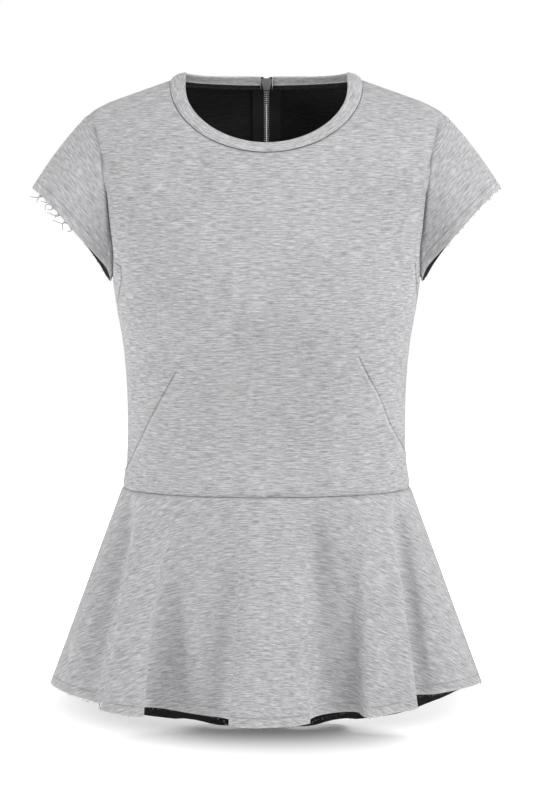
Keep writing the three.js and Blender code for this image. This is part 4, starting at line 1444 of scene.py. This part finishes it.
@dataclass
class PeplumForm:
    """The flared skirt: straight lines from the waist to a folded hem."""

    folds: tuple[HemFold, ...] = (
        HemFold("right side", -90, 218),
        HemFold("right side crest", -66.9, 193.5),
        HemFold("first fold entry", -62.2, 184.3),
        HemFold("first fold outer edge", -56.1, 193.9),
        HemFold("first fold inner edge", -43.8, 173.3),
        HemFold("first fold return", -52.0, 152.0),
        HemFold("right valley", -21.7, 121.6),
        HemFold("centre fold entry", -16, 141.5),
        HemFold("centre fold crest", -7.6, 151.3),
        HemFold("centre fold edge", 18.4, 139.1),
        HemFold("centre fold return", 21.2, 129.8),
        HemFold("left valley", 40.6, 129),
        HemFold("second fold entry", 38.8, 157.9),
        HemFold("second fold crest", 48.6, 167.9),
        HemFold("second fold edge", 55.8, 177.8),
        HemFold("second fold return", 67.8, 158.8),
        HemFold("left side trough", 73.6, 177.2),
        HemFold("left side", 90, 217),
        HemFold("back crest, left", 119.5, 203),
        HemFold("back trough, left", 140, 165),
        HemFold("back fold, left", 155, 195),
        HemFold("back valley, left", 168, 160),
        HemFold("centre back crest", 180.5, 186),
        HemFold("back valley, right", 193, 162),
        HemFold("back fold, right", 206, 192),
        HemFold("back trough, right", 220, 167),
        HemFold("back crest, right", 240, 202),
    )
    front_spans: int = 17
    side_z: float = -603.0
    front_drop: float = 18.0
    front_power: float = 1.3
    back_drops: tuple[Pair, ...] = (
        (0, 0),
        (0.25, 14),
        (0.5, 37.5),
        (0.63, 53),
        (0.77, 61.5),
        (0.85, 67.5),
        (0.91, 71.5),
        (1, 75),
    )
    fold_growth: float = 1.2
    mean_half: float = 218.0
    mean_front: float = 124.0
    mean_back: float = 178.0

    def __post_init__(self) -> None:
        """Lays the hem out at even spacing, front and back."""
        self.back_curve = smooth_table([d[0] for d in self.back_drops], [d[1] for d in self.back_drops])
        self.front_hem = self.spaced(0, self.front_spans)
        self.back_hem = self.spaced(self.front_spans, len(self.folds))

    def hem_point(self, place: Array) -> Array:
        """Centripetal spline through the folds, at places counted in rows of the table."""
        angle = np.radians([f.angle for f in self.folds])
        reach = np.array([f.reach for f in self.folds])
        knots = np.stack([reach * np.sin(angle), -reach * np.cos(angle)], axis=-1)
        count = len(knots)
        i = np.floor(place).astype(int)
        t = (place - i)[:, None]
        p0, p1, p2, p3 = (knots[(i + k) % count] for k in (-1, 0, 1, 2))
        d0, d1, d2 = (
            np.sqrt(np.linalg.norm(b - a, axis=-1, keepdims=True)) for a, b in ((p0, p1), (p1, p2), (p2, p3))
        )
        m1 = ((p1 - p0) / d0 - (p2 - p0) / (d0 + d1) + (p2 - p1) / d1) * d1
        m2 = ((p2 - p1) / d1 - (p3 - p1) / (d1 + d2) + (p3 - p2) / d2) * d1
        return p1 + m1 * t + (-3 * p1 + 3 * p2 - 2 * m1 - m2) * t**2 + (2 * p1 - 2 * p2 + m1 + m2) * t**3

    def spaced(self, start: int, end: int) -> tuple[Array, Array]:
        """Points of the hem between two rows of the table, and the length to each."""
        points = self.hem_point(np.linspace(start, end, 1601))
        steps = np.linalg.norm(np.diff(points, axis=0), axis=-1)
        return points, np.concatenate([[0], np.cumsum(steps)])

    def point(self, back: bool, round_: Array, down: Array) -> Array:
        """Outer face of the peplum.

        Args:
            back: Whether it is the back half.
            round_: Share of the way round that half.
            down: Share of the way down.

        Returns:
            Points in millimetres.
        """
        round_, down = np.broadcast_arrays(np.asarray(round_, float), np.asarray(down, float))
        angle = np.radians((90 if back else -90) + 180 * round_)
        waist = BODY.point(angle, np.full(round_.shape, BODY.waist_z))
        points, lengths = self.back_hem if back else self.front_hem
        want = np.clip(round_, 0, 1) * lengths[-1]
        hem_x, hem_y = np.interp(want, lengths, points[:, 0]), np.interp(want, lengths, points[:, 1])
        mean_x = self.mean_half * np.sin(angle)
        mean_y = -np.cos(angle) * (self.mean_back if back else self.mean_front)
        facing = np.abs(hem_y) / np.hypot(hem_x, hem_y)
        drop = self.back_curve(facing) if back else self.front_drop * facing**self.front_power
        grown = down**self.fold_growth
        return np.stack(
            [
                lerp(waist[..., 0], mean_x, down) + (hem_x - mean_x) * grown,
                lerp(waist[..., 1], mean_y, down) + (hem_y - mean_y) * grown,
                lerp(BODY.waist_z, self.side_z - drop, down),
            ],
            axis=-1,
        )

    def normal(self, back: bool, round_: Array, down: Array) -> Array:
        """Outward normal of the peplum."""
        d = np.maximum(0.03, down)
        after, before = np.minimum(1, round_ + 0.002), np.maximum(0, round_ - 0.002)
        around = self.point(back, after, d) - self.point(back, before, d)
        fall = self.point(back, round_, np.minimum(1, d + 0.01)) - self.point(back, round_, d - 0.01)
        return unit(np.cross(fall, around))


@dataclass
class Peplum:
    """Front or back half of the peplum, with its raw hem."""

    back: bool
    form: PeplumForm
    columns: int = 300
    rows: int = 44
    flat_radius: float = 275.0
    front_creases: tuple[Crease, ...] = (
        Crease("right side trough", (0.112, 0.02), (0.130, 1.40), 0.036, -15),
        Crease("trough beside the first fold", (0.43, 0.16), (0.425, 1.45), 0.030, -8),
        Crease("soft dip of the right valley", (0.345, 0.02), (0.31, 1.35), 0.032, -6),
        Crease("left valley, inner side", (0.60, 0.08), (0.655, 1.45), 0.036, -14),
        Crease("left side trough", (0.855, 0.06), (0.870, 1.40), 0.032, -13),
        Crease("centre fold's crest", (0.54, 0.02), (0.535, 1.30), 0.045, 2.5),
    )
    back_creases: tuple[Crease, ...] = (
        Crease("dip by the left side", (0.14, 0.10), (0.12, 1.35), 0.032, -6),
        Crease("dip left of the zip", (0.43, 0.15), (0.42, 1.40), 0.030, -5),
        Crease("dip right of the zip", (0.585, 0.10), (0.60, 1.35), 0.028, -4),
        Crease("dip by the right side", (0.87, 0.12), (0.885, 1.40), 0.030, -7),
    )

    @property
    def name(self) -> str:
        """Name of the solid that it stands for."""
        return "peplum_back" if self.back else "peplum_front"

    def build(self, finishes: Wardrobe) -> Piece:
        """Makes this half of the peplum."""
        down = np.concatenate([[0, 0.004, 0.009, 0.016, 0.026], np.linspace(0.04, 0.985, self.rows), [1.0]])
        rounds, downs = np.meshgrid(np.linspace(0, 1, self.columns + 1), down)
        points = self.form.point(self.back, rounds, downs)
        offset = self.form.normal(self.back, rounds, downs)
        angle = np.radians((90 if self.back else -90) + 180 * rounds[0])
        offset[0] = BODY.level_normal(angle, np.full(angle.shape, BODY.waist_z))
        length = along(points, 0)
        waist = along(points, 1)[0]
        turn = (waist - waist[-1] / 2) / self.flat_radius
        far = self.flat_radius + length
        cut = np.stack([far * np.sin(turn), -far * np.cos(turn)], axis=-1) * MM
        edge = np.stack([along(points, 1), length[-1:] - length], axis=-1) * MM
        across = along(points, 1)
        seam = np.stack([length, np.minimum(across, across[:, -1:] - across)], axis=-1) * MM
        grid = ClothGrid(points, offset, cut, edge, seam, cut)
        grid.inset(0, 1)
        grid.inset_side(0, 1)
        grid.inset_side(-1, -2)
        lift = lifted(self.back_creases if self.back else self.front_creases, rounds, downs)
        grid.outer = grid.outer + unit(offset) * lift[..., None]
        grid.roll_in(length, 1.2, 2.4)
        grid.roll_in(across, 0.7, 2.2)
        grid.roll_in(across[:, -1:] - across, 0.7, 2.2)
        piece = grid.build(f"{self.name}_cloth", finishes.wall(finishes.hemmed))
        return dress(piece, self.name)


# ---------------------------------------------------------------- zip


@dataclass
class Zip:
    """Centre-back zip: two woven tapes, interlocked teeth, and the metal slider and tab."""

    tape_inner: float = 3.2
    tape_beneath: float = 0.35
    tape_outer: float = 14.4
    tape_neck: float = 5.9
    tape_step: float = -8.3
    tape_top: float = 5.2
    tape_thickness: float = 0.8
    behind_cloth: float = 2.3
    chain_depth: float = 3.15
    chain_top: float = -8.2
    pitch: float = 2.4
    tooth_length: float = 0.98
    tooth_thickness: float = 1.4
    tooth_sides: int = 8
    tooth_flats: float = 1.25

    def path(self, z: Array) -> tuple[Array, Array]:
        """Line of the zip on the outer face, and its normal."""
        z = np.asarray(z, float)
        below = np.minimum(z, BODY.neck_back_z)
        angle = np.full(z.shape, math.pi)
        point, normal = BODY.point(angle, below), BODY.normal(angle, below)
        rise = unit(np.array([0, -3.0, 11.8]))
        above = (z - below)[..., None] / rise[2]
        over = (z > BODY.neck_back_z)[..., None]
        return point + rise * above, np.where(over, np.array([0, rise[2], -rise[1]]), normal)

    def beside(self, x: Array, z: Array) -> Array:
        """Outer face of the body at a small distance from the zip."""
        below = np.minimum(z, BODY.neck_back_z)
        point = BODY.point(BODY.angle_at(x, below, np.ones(np.shape(z), bool)), below)
        level, _ = self.path(z)
        over = (z > BODY.neck_back_z)[..., None]
        straight = level + np.stack([x, np.zeros_like(x), np.zeros_like(x)], axis=-1)
        return np.where(over, straight, point)

    def tape(self, side: Side, finishes: Wardrobe) -> Piece:
        """Makes one tape, narrow beside the slider."""
        wide = np.linspace(BODY.waist_z + 1.2, self.tape_step, 150)
        narrow = np.linspace(self.tape_step + 0.4, self.tape_top, 8)
        z = np.concatenate([wide, narrow])
        outer = np.where(z > self.tape_step + 0.1, self.tape_neck, self.tape_outer)
        inner = np.where(z > self.tape_step - 0.5, self.tape_inner, self.tape_beneath)
        share = np.linspace(0, 1, 11)
        x = inner[:, None] + (outer - inner)[:, None] * share
        zz = np.broadcast_to(z[:, None], x.shape)
        normal = np.broadcast_to(self.path(z)[1][:, None], x.shape + (3,)).copy()
        points = self.beside(x, zz) - normal * self.behind_cloth
        cut = np.stack([x, along(points, 0)], axis=-1) * MM
        flip = np.array([side.value, 1, 1])
        blank = np.ones(cut.shape)
        grid = ClothGrid(
            points * flip, normal * flip, cut, blank, blank, blank, thickness=self.tape_thickness
        )
        name = f"zip_tape_{side.name.lower()}"
        piece = grid.build(f"{name}_weave", [finishes.tape] * 4)
        dress(piece, name)
        Cut(0.0112, 0.424, 0.0046, (f"back_bodice_{side.name.lower()}_cloth",)).declare(piece)
        return piece

    def tooth(self, side: Side) -> Piece:
        """Makes one tooth: a rounded bar with a waist and a nub at its head."""
        half, thick = self.tooth_length / 2, self.tooth_thickness / 2
        stations = (
            (-0.60, 0.62, 0.62),
            (-0.35, 1.0, 0.92),
            (0.35, 1.06, 1.0),
            (0.9, 0.80, 0.84),
            (1.7, 0.84, 1.0),
            (2.7, 0.90, 0.86),
        )
        rings = []
        for x, wide, tall in stations:
            for k in range(self.tooth_sides):
                a = math.tau * (k + 0.5) / self.tooth_sides
                y = half * wide * np.clip(self.tooth_flats * math.cos(a), -1, 1)
                n = thick * tall * np.clip(self.tooth_flats * math.sin(a), -1, 1)
                rings.append((x * side.value, y, n))
        faces = tube_faces(len(stations), self.tooth_sides)
        if side is Side.LEFT:
            faces = [tuple(reversed(f)) for f in faces]
        points = np.array(rings)
        layers = {"cut": points[:, :2] * MM}
        return add_mesh(f"tooth_{side.name.lower()}", points, faces, [0] * len(faces), [], layers)

    def teeth_group(self) -> Tree:
        """Geometry nodes that set one tooth at every pitch of a line."""
        tree = bpy.data.node_groups.new("teeth_along_line", "GeometryNodeTree")
        name_sockets(tree, "INPUT", Geometry="Geometry", Pitch="Float", Tooth="Object", Metal="Material")
        name_sockets(tree, "OUTPUT", Geometry="Geometry")
        inlet, outlet = new_node(tree, "NodeGroupInput"), new_node(tree, "NodeGroupOutput")
        curve = new_node(tree, "GeometryNodeMeshToCurve")
        spaced = new_node(tree, "GeometryNodeResampleCurve", mode="LENGTH")
        tangent = new_node(tree, "GeometryNodeInputTangent")
        turn = new_node(tree, "FunctionNodeAlignRotationToVector", axis="Y", pivot_axis="X")
        tooth = new_node(tree, "GeometryNodeObjectInfo")
        placed = new_node(tree, "GeometryNodeInstanceOnPoints")
        real = new_node(tree, "GeometryNodeRealizeInstances")
        coat = new_node(tree, "GeometryNodeSetMaterial")
        for source, given, target, taken in (
            (inlet, "Geometry", curve, "Mesh"),
            (curve, "Curve", spaced, "Curve"),
            (inlet, "Pitch", spaced, "Length"),
            (spaced, "Curve", placed, "Points"),
            (inlet, "Tooth", tooth, "Object"),
            (tooth, "Geometry", placed, "Instance"),
            (tangent, "Tangent", turn, "Vector"),
            (turn, "Rotation", placed, "Rotation"),
            (placed, "Instances", real, "Geometry"),
            (real, "Geometry", coat, "Geometry"),
            (inlet, "Metal", coat, "Material"),
            (coat, "Geometry", outlet, "Geometry"),
        ):
            link(tree, source.outputs[given], target.inputs[taken])
        return tree

    def teeth(self, side: Side, group: Tree, finishes: Wardrobe) -> bpy.types.Mesh:
        """Sets the teeth of one side along the zip and bakes them."""
        start = BODY.waist_z + 2.6 + (self.pitch / 2 if side is Side.LEFT else 0)
        z = np.linspace(start, self.chain_top - 0.6, 220)
        point, normal = self.path(z)
        line = point - normal * self.chain_depth
        mesh = bpy.data.meshes.new(f"zip_line_{side.name.lower()}")
        mesh.from_pydata((line * MM).tolist(), [(i, i + 1) for i in range(len(z) - 1)], [])
        holder = bpy.data.objects.new(f"zip_line_{side.name.lower()}", mesh)
        bpy.context.scene.collection.objects.link(holder)
        tooth = self.tooth(side)
        modifier = holder.modifiers.new("teeth", "NODES")
        modifier.node_group = group
        sockets = {s.name: s.identifier for s in group.interface.items_tree if s.in_out == "INPUT"}
        modifier[sockets["Pitch"]] = self.pitch * MM
        modifier[sockets["Tooth"]] = tooth
        modifier[sockets["Metal"]] = finishes.metal
        bpy.context.view_layer.update()
        baked = bpy.data.meshes.new_from_object(holder.evaluated_get(bpy.context.evaluated_depsgraph_get()))
        holder.modifiers.clear()
        bpy.data.objects.remove(holder)
        bpy.data.objects.remove(tooth)
        return baked

    def build(self, finishes: Wardrobe) -> None:
        """Makes the tapes and teeth, and finishes the slider and the tab."""
        for side in Side:
            self.tape(side, finishes)
        group = self.teeth_group()
        for side in Side:
            baked = self.teeth(side, group, finishes)
            baked.name = f"zip_teeth_{side.name.lower()}"
            if not baked.materials:
                baked.materials.append(finishes.metal)
            piece = bpy.data.objects.new(baked.name, baked)
            bpy.context.scene.collection.objects.link(piece)
            dress(piece, "zip_chain")
        for node in ("zip_slider", "zip_pull_tab"):
            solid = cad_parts[node]
            for slot in solid.material_slots:
                slot.material = finishes.slider


# ---------------------------------------------------------------- frayed yarn


@dataclass(frozen=True)
class Fray:
    """Loose yarn ends along one raw hem."""

    name: str
    count: int
    longest: float
    seed: int
    radius: float = 0.24
    thread: float = 0.42
    shortest: float = 0.25
    rarity: float = 2.5
    curl: float = 1.2
    lean: float = 0.5
    lift: Pair = (0.15, 0.35)
    swing: Pair = (1.6, 0.35)
    arch: float = 0.16
    root: float = 0.4
    uneven: float = 0.3


FRAY_DEPTH = 0.8
SLEEVE_THREADS = {
    Side.LEFT: ((0.12, 3, 1.0), (0.3, 3.5, -1.2)),
    Side.RIGHT: (
        (0.10, 9, 2.6),
        (0.112, 8, -2.4),
        (0.135, 7, 2.8),
        (0.15, 9, -2.0),
        (0.162, 6, 2.2),
        (0.188, 9, 3.0),
        (0.20, 7, -2.6),
        (0.212, 10, 2.9),
        (0.224, 8, -2.8),
        (0.236, 6, 2.4),
    ),
}
PEPLUM_THREADS = ((0.15, 5, 1.6), (0.52, 4, -1.4))


def yarn_tube(line: Array, radius: float, sides: int = 5) -> tuple[Array, list[tuple[int, ...]]]:
    """Tube round a line of points, tapering to its end.

    Args:
        line: Points in millimetres.
        radius: Radius at the root.
        sides: Sides of the tube.

    Returns:
        Its points and its faces.
    """
    tangent = unit(np.gradient(line, axis=0))
    helper = np.array([0.3, 0.9, 0.31])
    side = unit(np.cross(tangent, helper))
    other = np.cross(tangent, side)
    taper = np.linspace(1, 0.45, len(line))[:, None, None] * radius
    angle = np.linspace(0, math.tau, sides, endpoint=False)
    rings = line[:, None] + taper * (
        side[:, None] * np.cos(angle)[None, :, None] + other[:, None] * np.sin(angle)[None, :, None]
    )
    return rings.reshape(-1, 3), tube_faces(len(line), sides)


def fray_hem(
    fray: Fray,
    roots: Array,
    fall: Array,
    out: Array,
    named: Sequence[Triple],
    finishes: Wardrobe,
) -> Piece:
    """Makes the loose yarn ends of one hem.

    Args:
        fray: How many there are, and how long.
        roots: Points along the raw edge, in the middle of the grey face.
        fall: Direction past the edge at each.
        out: Outward direction at each.
        named: Ends that are listed one by one: share of the way along, length and curl.
        finishes: The finishes.

    Returns:
        The yarn ends, as one object.
    """
    rng = np.random.default_rng(fray.seed)
    tangent = unit(np.gradient(roots, axis=0))
    chosen = [
        (
            rng.random(),
            fray.longest * (fray.shortest + (1 - fray.shortest) * rng.random() ** fray.rarity),
            rng.normal(0, fray.curl),
            fray.radius,
        )
        for _ in range(fray.count)
    ]
    by_hand = [(share, length, curl, fray.thread) for share, length, curl in named]
    points: list[Array] = []
    faces: list[tuple[int, ...]] = []
    start = 0
    for share, length, curl, radius in [*chosen, *by_hand]:
        k = int(np.clip(share * (len(roots) - 1), 0, len(roots) - 1))
        lean = rng.normal(0, fray.lean)
        lift = rng.normal(*fray.lift)
        t = np.linspace(0, 1, 8)[:, None]
        way = unit(fall[k] + tangent[k] * lean + out[k] * lift)
        turns, reach = fray.swing
        swing = tangent[k] * np.sin(curl * turns * t) * length * reach
        swing = swing + out[k] * (1 - np.cos(curl * t)) * length * fray.arch
        line = roots[k] - fall[k] * fray.root + way * length * t + swing
        made, own = yarn_tube(line, radius * (1 + fray.uneven * rng.random()))
        points.append(made)
        faces += [tuple(i + start for i in f) for f in own]
        start += len(made)
    flat = np.concatenate(points)
    piece = add_mesh(fray.name, flat, faces, [0] * len(faces), [finishes.yarn], {"cut": flat[:, :2] * MM})
    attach(piece, "garment")
    LOG.info("%s: %d ends", piece.name, fray.count + len(named))
    return piece


# ---------------------------------------------------------------- studio


@dataclass(frozen=True)
class SoftLight:
    """A square soft light: where it stands and what it faces, in metres, and its side and power."""

    name: str
    place: Triple
    aim: Triple
    size: float
    power: float

    def build(self) -> None:
        """Makes the light."""
        light = bpy.data.lights.new(self.name, "AREA")
        light.size = self.size
        light.energy = self.power
        lamp = bpy.data.objects.new(self.name, light)
        lamp.location = self.place
        lamp.rotation_euler = (Vector(self.aim) - Vector(self.place)).to_track_quat("-Z", "Y").to_euler()
        bpy.context.scene.collection.objects.link(lamp)


@dataclass
class Studio:
    """Plain white floor that glows, with a painted shadow pool under the hem, soft light and the camera."""

    floor_z: float = -0.682
    floor_size: float = 60.0
    floor_middle: float = 20.0
    # floor_bounce is the floor's glow as the garment sees it, light from below; the shadow fields place the
    # painted shadow pool in the glow that the camera sees.
    floor_bounce: float = 0.26
    surround: float = 0.02
    shadow_middle: Pair = (0.0, 0.33)
    shadow_reach: Pair = (0.25, 0.25)
    shadow_edge: Pair = (0.72, 1.32)
    shadow_depth: float = 0.16
    distance: float = 3.0
    pitch: float = 5.0
    lens: float = 135.0
    sensor: float = 36.0
    far: float = 200.0
    target: Triple = (0.0, 0.0, -0.318)
    lights: tuple[SoftLight, ...] = (
        SoftLight("left high", (-1.8, -1.2, 1.6), (0, 0, -0.35), 1.8, 18),
        SoftLight("right high", (1.8, -1.2, 1.6), (0, 0, -0.35), 1.8, 66),
        SoftLight("left middle", (-2.6, -0.9, 0.5), (0, 0, -0.1), 0.7, 27),
        SoftLight("right low", (1.9, -2.0, -0.35), (0, 0, -0.35), 0.5, 2),
        SoftLight("left behind", (-2.0, 1.6, 0.6), (0, 0, -0.3), 1.6, 16),
        SoftLight("right behind", (2.0, 1.6, 0.6), (0, 0, -0.3), 1.6, 16),
    )

    def build(self) -> None:
        """Makes the floor, the lights and the camera."""
        self.floor()
        self.world()
        for light in self.lights:
            light.build()
        self.camera()

    def floor(self) -> None:
        """Makes a white floor that carries on past the frame and glows, with a painted shadow pool under the
        hem.
        """
        bpy.ops.mesh.primitive_plane_add(size=self.floor_size, location=(0, self.floor_middle, self.floor_z))
        floor = bpy.context.object
        floor.name = "floor"
        material, tree, shader = new_material("floor_white")
        place = new_node(tree, "ShaderNodeTexCoord").outputs["Object"]
        noise = even_noise(tree, place, 3.0)
        white = blend(tree, noise, (0.89, 0.89, 0.89, 1), (0.91, 0.91, 0.91, 1))
        link(tree, white, shader.inputs["Base Color"])
        shader.inputs["Roughness"].default_value = 0.9
        shader.inputs["Specular IOR Level"].default_value = 0.1
        shader.inputs["Emission Color"].default_value = (1, 1, 1, 1)
        link(tree, self.glow(tree, place), shader.inputs["Emission Strength"])
        floor.data.materials.append(material)

    def glow(self, tree: Tree, place: Socket) -> Socket:
        """Light that the floor gives: white where it is seen, but for a painted shadow pool under the hem,
        and a fainter glow that lights the garment from below.

        Args:
            tree: The floor's nodes.
            place: Coordinates on the floor, from its middle.

        Returns:
            The strength's socket.
        """
        mapping = new_node(tree, "ShaderNodeMapping", vector_type="TEXTURE")
        x, y = self.shadow_middle
        mapping.inputs["Location"].default_value = (x, y - self.floor_middle, 0)
        mapping.inputs["Scale"].default_value = (*self.shadow_reach, 1)
        link(tree, place, mapping.inputs["Vector"])
        length = new_node(tree, "ShaderNodeVectorMath", operation="LENGTH")
        link(tree, mapping.outputs["Vector"], length.inputs[0])
        # Painted shadow: the glow falls to shadow_depth in a soft pool under the hem.
        pool = new_node(tree, "ShaderNodeMapRange", interpolation_type="SMOOTHSTEP")
        pool.inputs["From Min"].default_value = self.shadow_edge[0]
        pool.inputs["From Max"].default_value = self.shadow_edge[1]
        pool.inputs["To Min"].default_value = self.shadow_depth
        link(tree, length.outputs["Value"], pool.inputs["Value"])
        seen = new_node(tree, "ShaderNodeLightPath").outputs["Is Camera Ray"]
        bounce = new_node(tree, "ShaderNodeMix", data_type="FLOAT")
        link(tree, seen, bounce.inputs["Factor"])
        bounce.inputs[2].default_value = self.floor_bounce
        link(tree, pool.outputs["Result"], bounce.inputs[3])
        return bounce.outputs[0]

    def world(self) -> None:
        """Makes an even surround that looks white and lights the garment softly."""
        world = bpy.data.worlds.new("surround")
        world.use_nodes = True
        tree = world.node_tree
        background = tree.nodes["Background"]
        background.inputs["Color"].default_value = (1, 1, 1, 1)
        seen = new_node(tree, "ShaderNodeLightPath").outputs["Is Camera Ray"]
        level = math_node(tree, "MULTIPLY_ADD", seen, 1.0 - self.surround, self.surround)
        link(tree, level, background.inputs["Strength"])
        bpy.context.scene.world = world
        bpy.context.scene.view_settings.view_transform = "Standard"
        bpy.context.scene.view_settings.look = "None"

    def camera(self) -> None:
        """Makes the camera, level with the shoulders and pitched a little down."""
        camera = bpy.data.cameras.new("camera")
        camera.sensor_fit = "VERTICAL"
        camera.sensor_height = self.sensor
        camera.lens = self.lens
        camera.clip_end = self.far
        tilt = math.radians(self.pitch)
        holder = bpy.data.objects.new("camera", camera)
        holder.location = (
            self.target[0],
            self.target[1] - self.distance * math.cos(tilt),
            self.target[2] + self.distance * math.sin(tilt),
        )
        holder.rotation_euler = (math.pi / 2 - tilt, 0, 0)
        bpy.context.scene.collection.objects.link(holder)
        bpy.context.scene.camera = holder


# ---------------------------------------------------------------- whole garment


@dataclass
class PeplumTop:
    """The whole garment, made piece by piece."""

    finishes: Wardrobe = field(default_factory=Wardrobe)
    form: PeplumForm = field(default_factory=PeplumForm)

    def build(self) -> None:
        """Makes every piece in the order that they are sewn."""
        FrontBodice().build(self.finishes)
        for side in Side:
            BackBodice(side, creases=BACK_CREASES[side]).build(self.finishes)
        for side in Side:
            self.sleeve_with_fray(side)
        NeckBand().build(self.finishes)
        above_back = ("back_bodice_left_cloth", "back_bodice_right_cloth")
        self.peplum_with_fray(False, Cut(0.62, 0.36, 0.108, ("front_bodice_cloth",)))
        self.peplum_with_fray(True, Cut(0.66, 0.42, 0.128, above_back))
        Zip().build(self.finishes)

    def sleeve_with_fray(self, side: Side) -> None:
        """Makes a sleeve and the yarn ends of its hem."""
        sleeve = Sleeve(side)
        piece = sleeve.build(self.finishes)
        turn = np.linspace(0, 2 * math.pi, 400)
        share = np.ones(turn.shape)
        flip = np.array([side.value, 1, 1])
        roots = sleeve.point(turn, share)
        out = sleeve.normal(turn, share)
        fall = unit(roots - sleeve.point(turn, share - 0.1))
        fray = fray_hem(
            Fray(f"fray_{piece.name}", 150, 2.6, 11 + side.value),
            (roots - out * FRAY_DEPTH) * flip,
            fall * flip,
            out * flip,
            SLEEVE_THREADS[side],
            self.finishes,
        )
        sleeve.cut.declare(piece, [fray])

    def peplum_with_fray(self, back: bool, cut: Cut) -> None:
        """Makes half of the peplum and the yarn ends of its hem."""
        peplum = Peplum(back, self.form)
        piece = peplum.build(self.finishes)
        share = np.linspace(0.003, 0.997, 900)
        roots = self.form.point(back, share, np.ones(share.shape))
        out = self.form.normal(back, share, np.ones(share.shape))
        fall = unit(roots - self.form.point(back, share, np.full(share.shape, 0.95)))
        fray = fray_hem(
            Fray(f"fray_{piece.name}", 260, 2.2, 31 + int(back)),
            roots - out * FRAY_DEPTH,
            fall,
            out,
            () if back else PEPLUM_THREADS,
            self.finishes,
        )
        cut.declare(piece, [fray])


def main() -> None:
    """Builds the garment and the studio."""
    logging.basicConfig(level=logging.INFO, format="%(name)s: %(message)s")
    PeplumTop().build()
    Studio().build()
    bpy.context.view_layer.update()


if __name__ == "__main__":
    main()
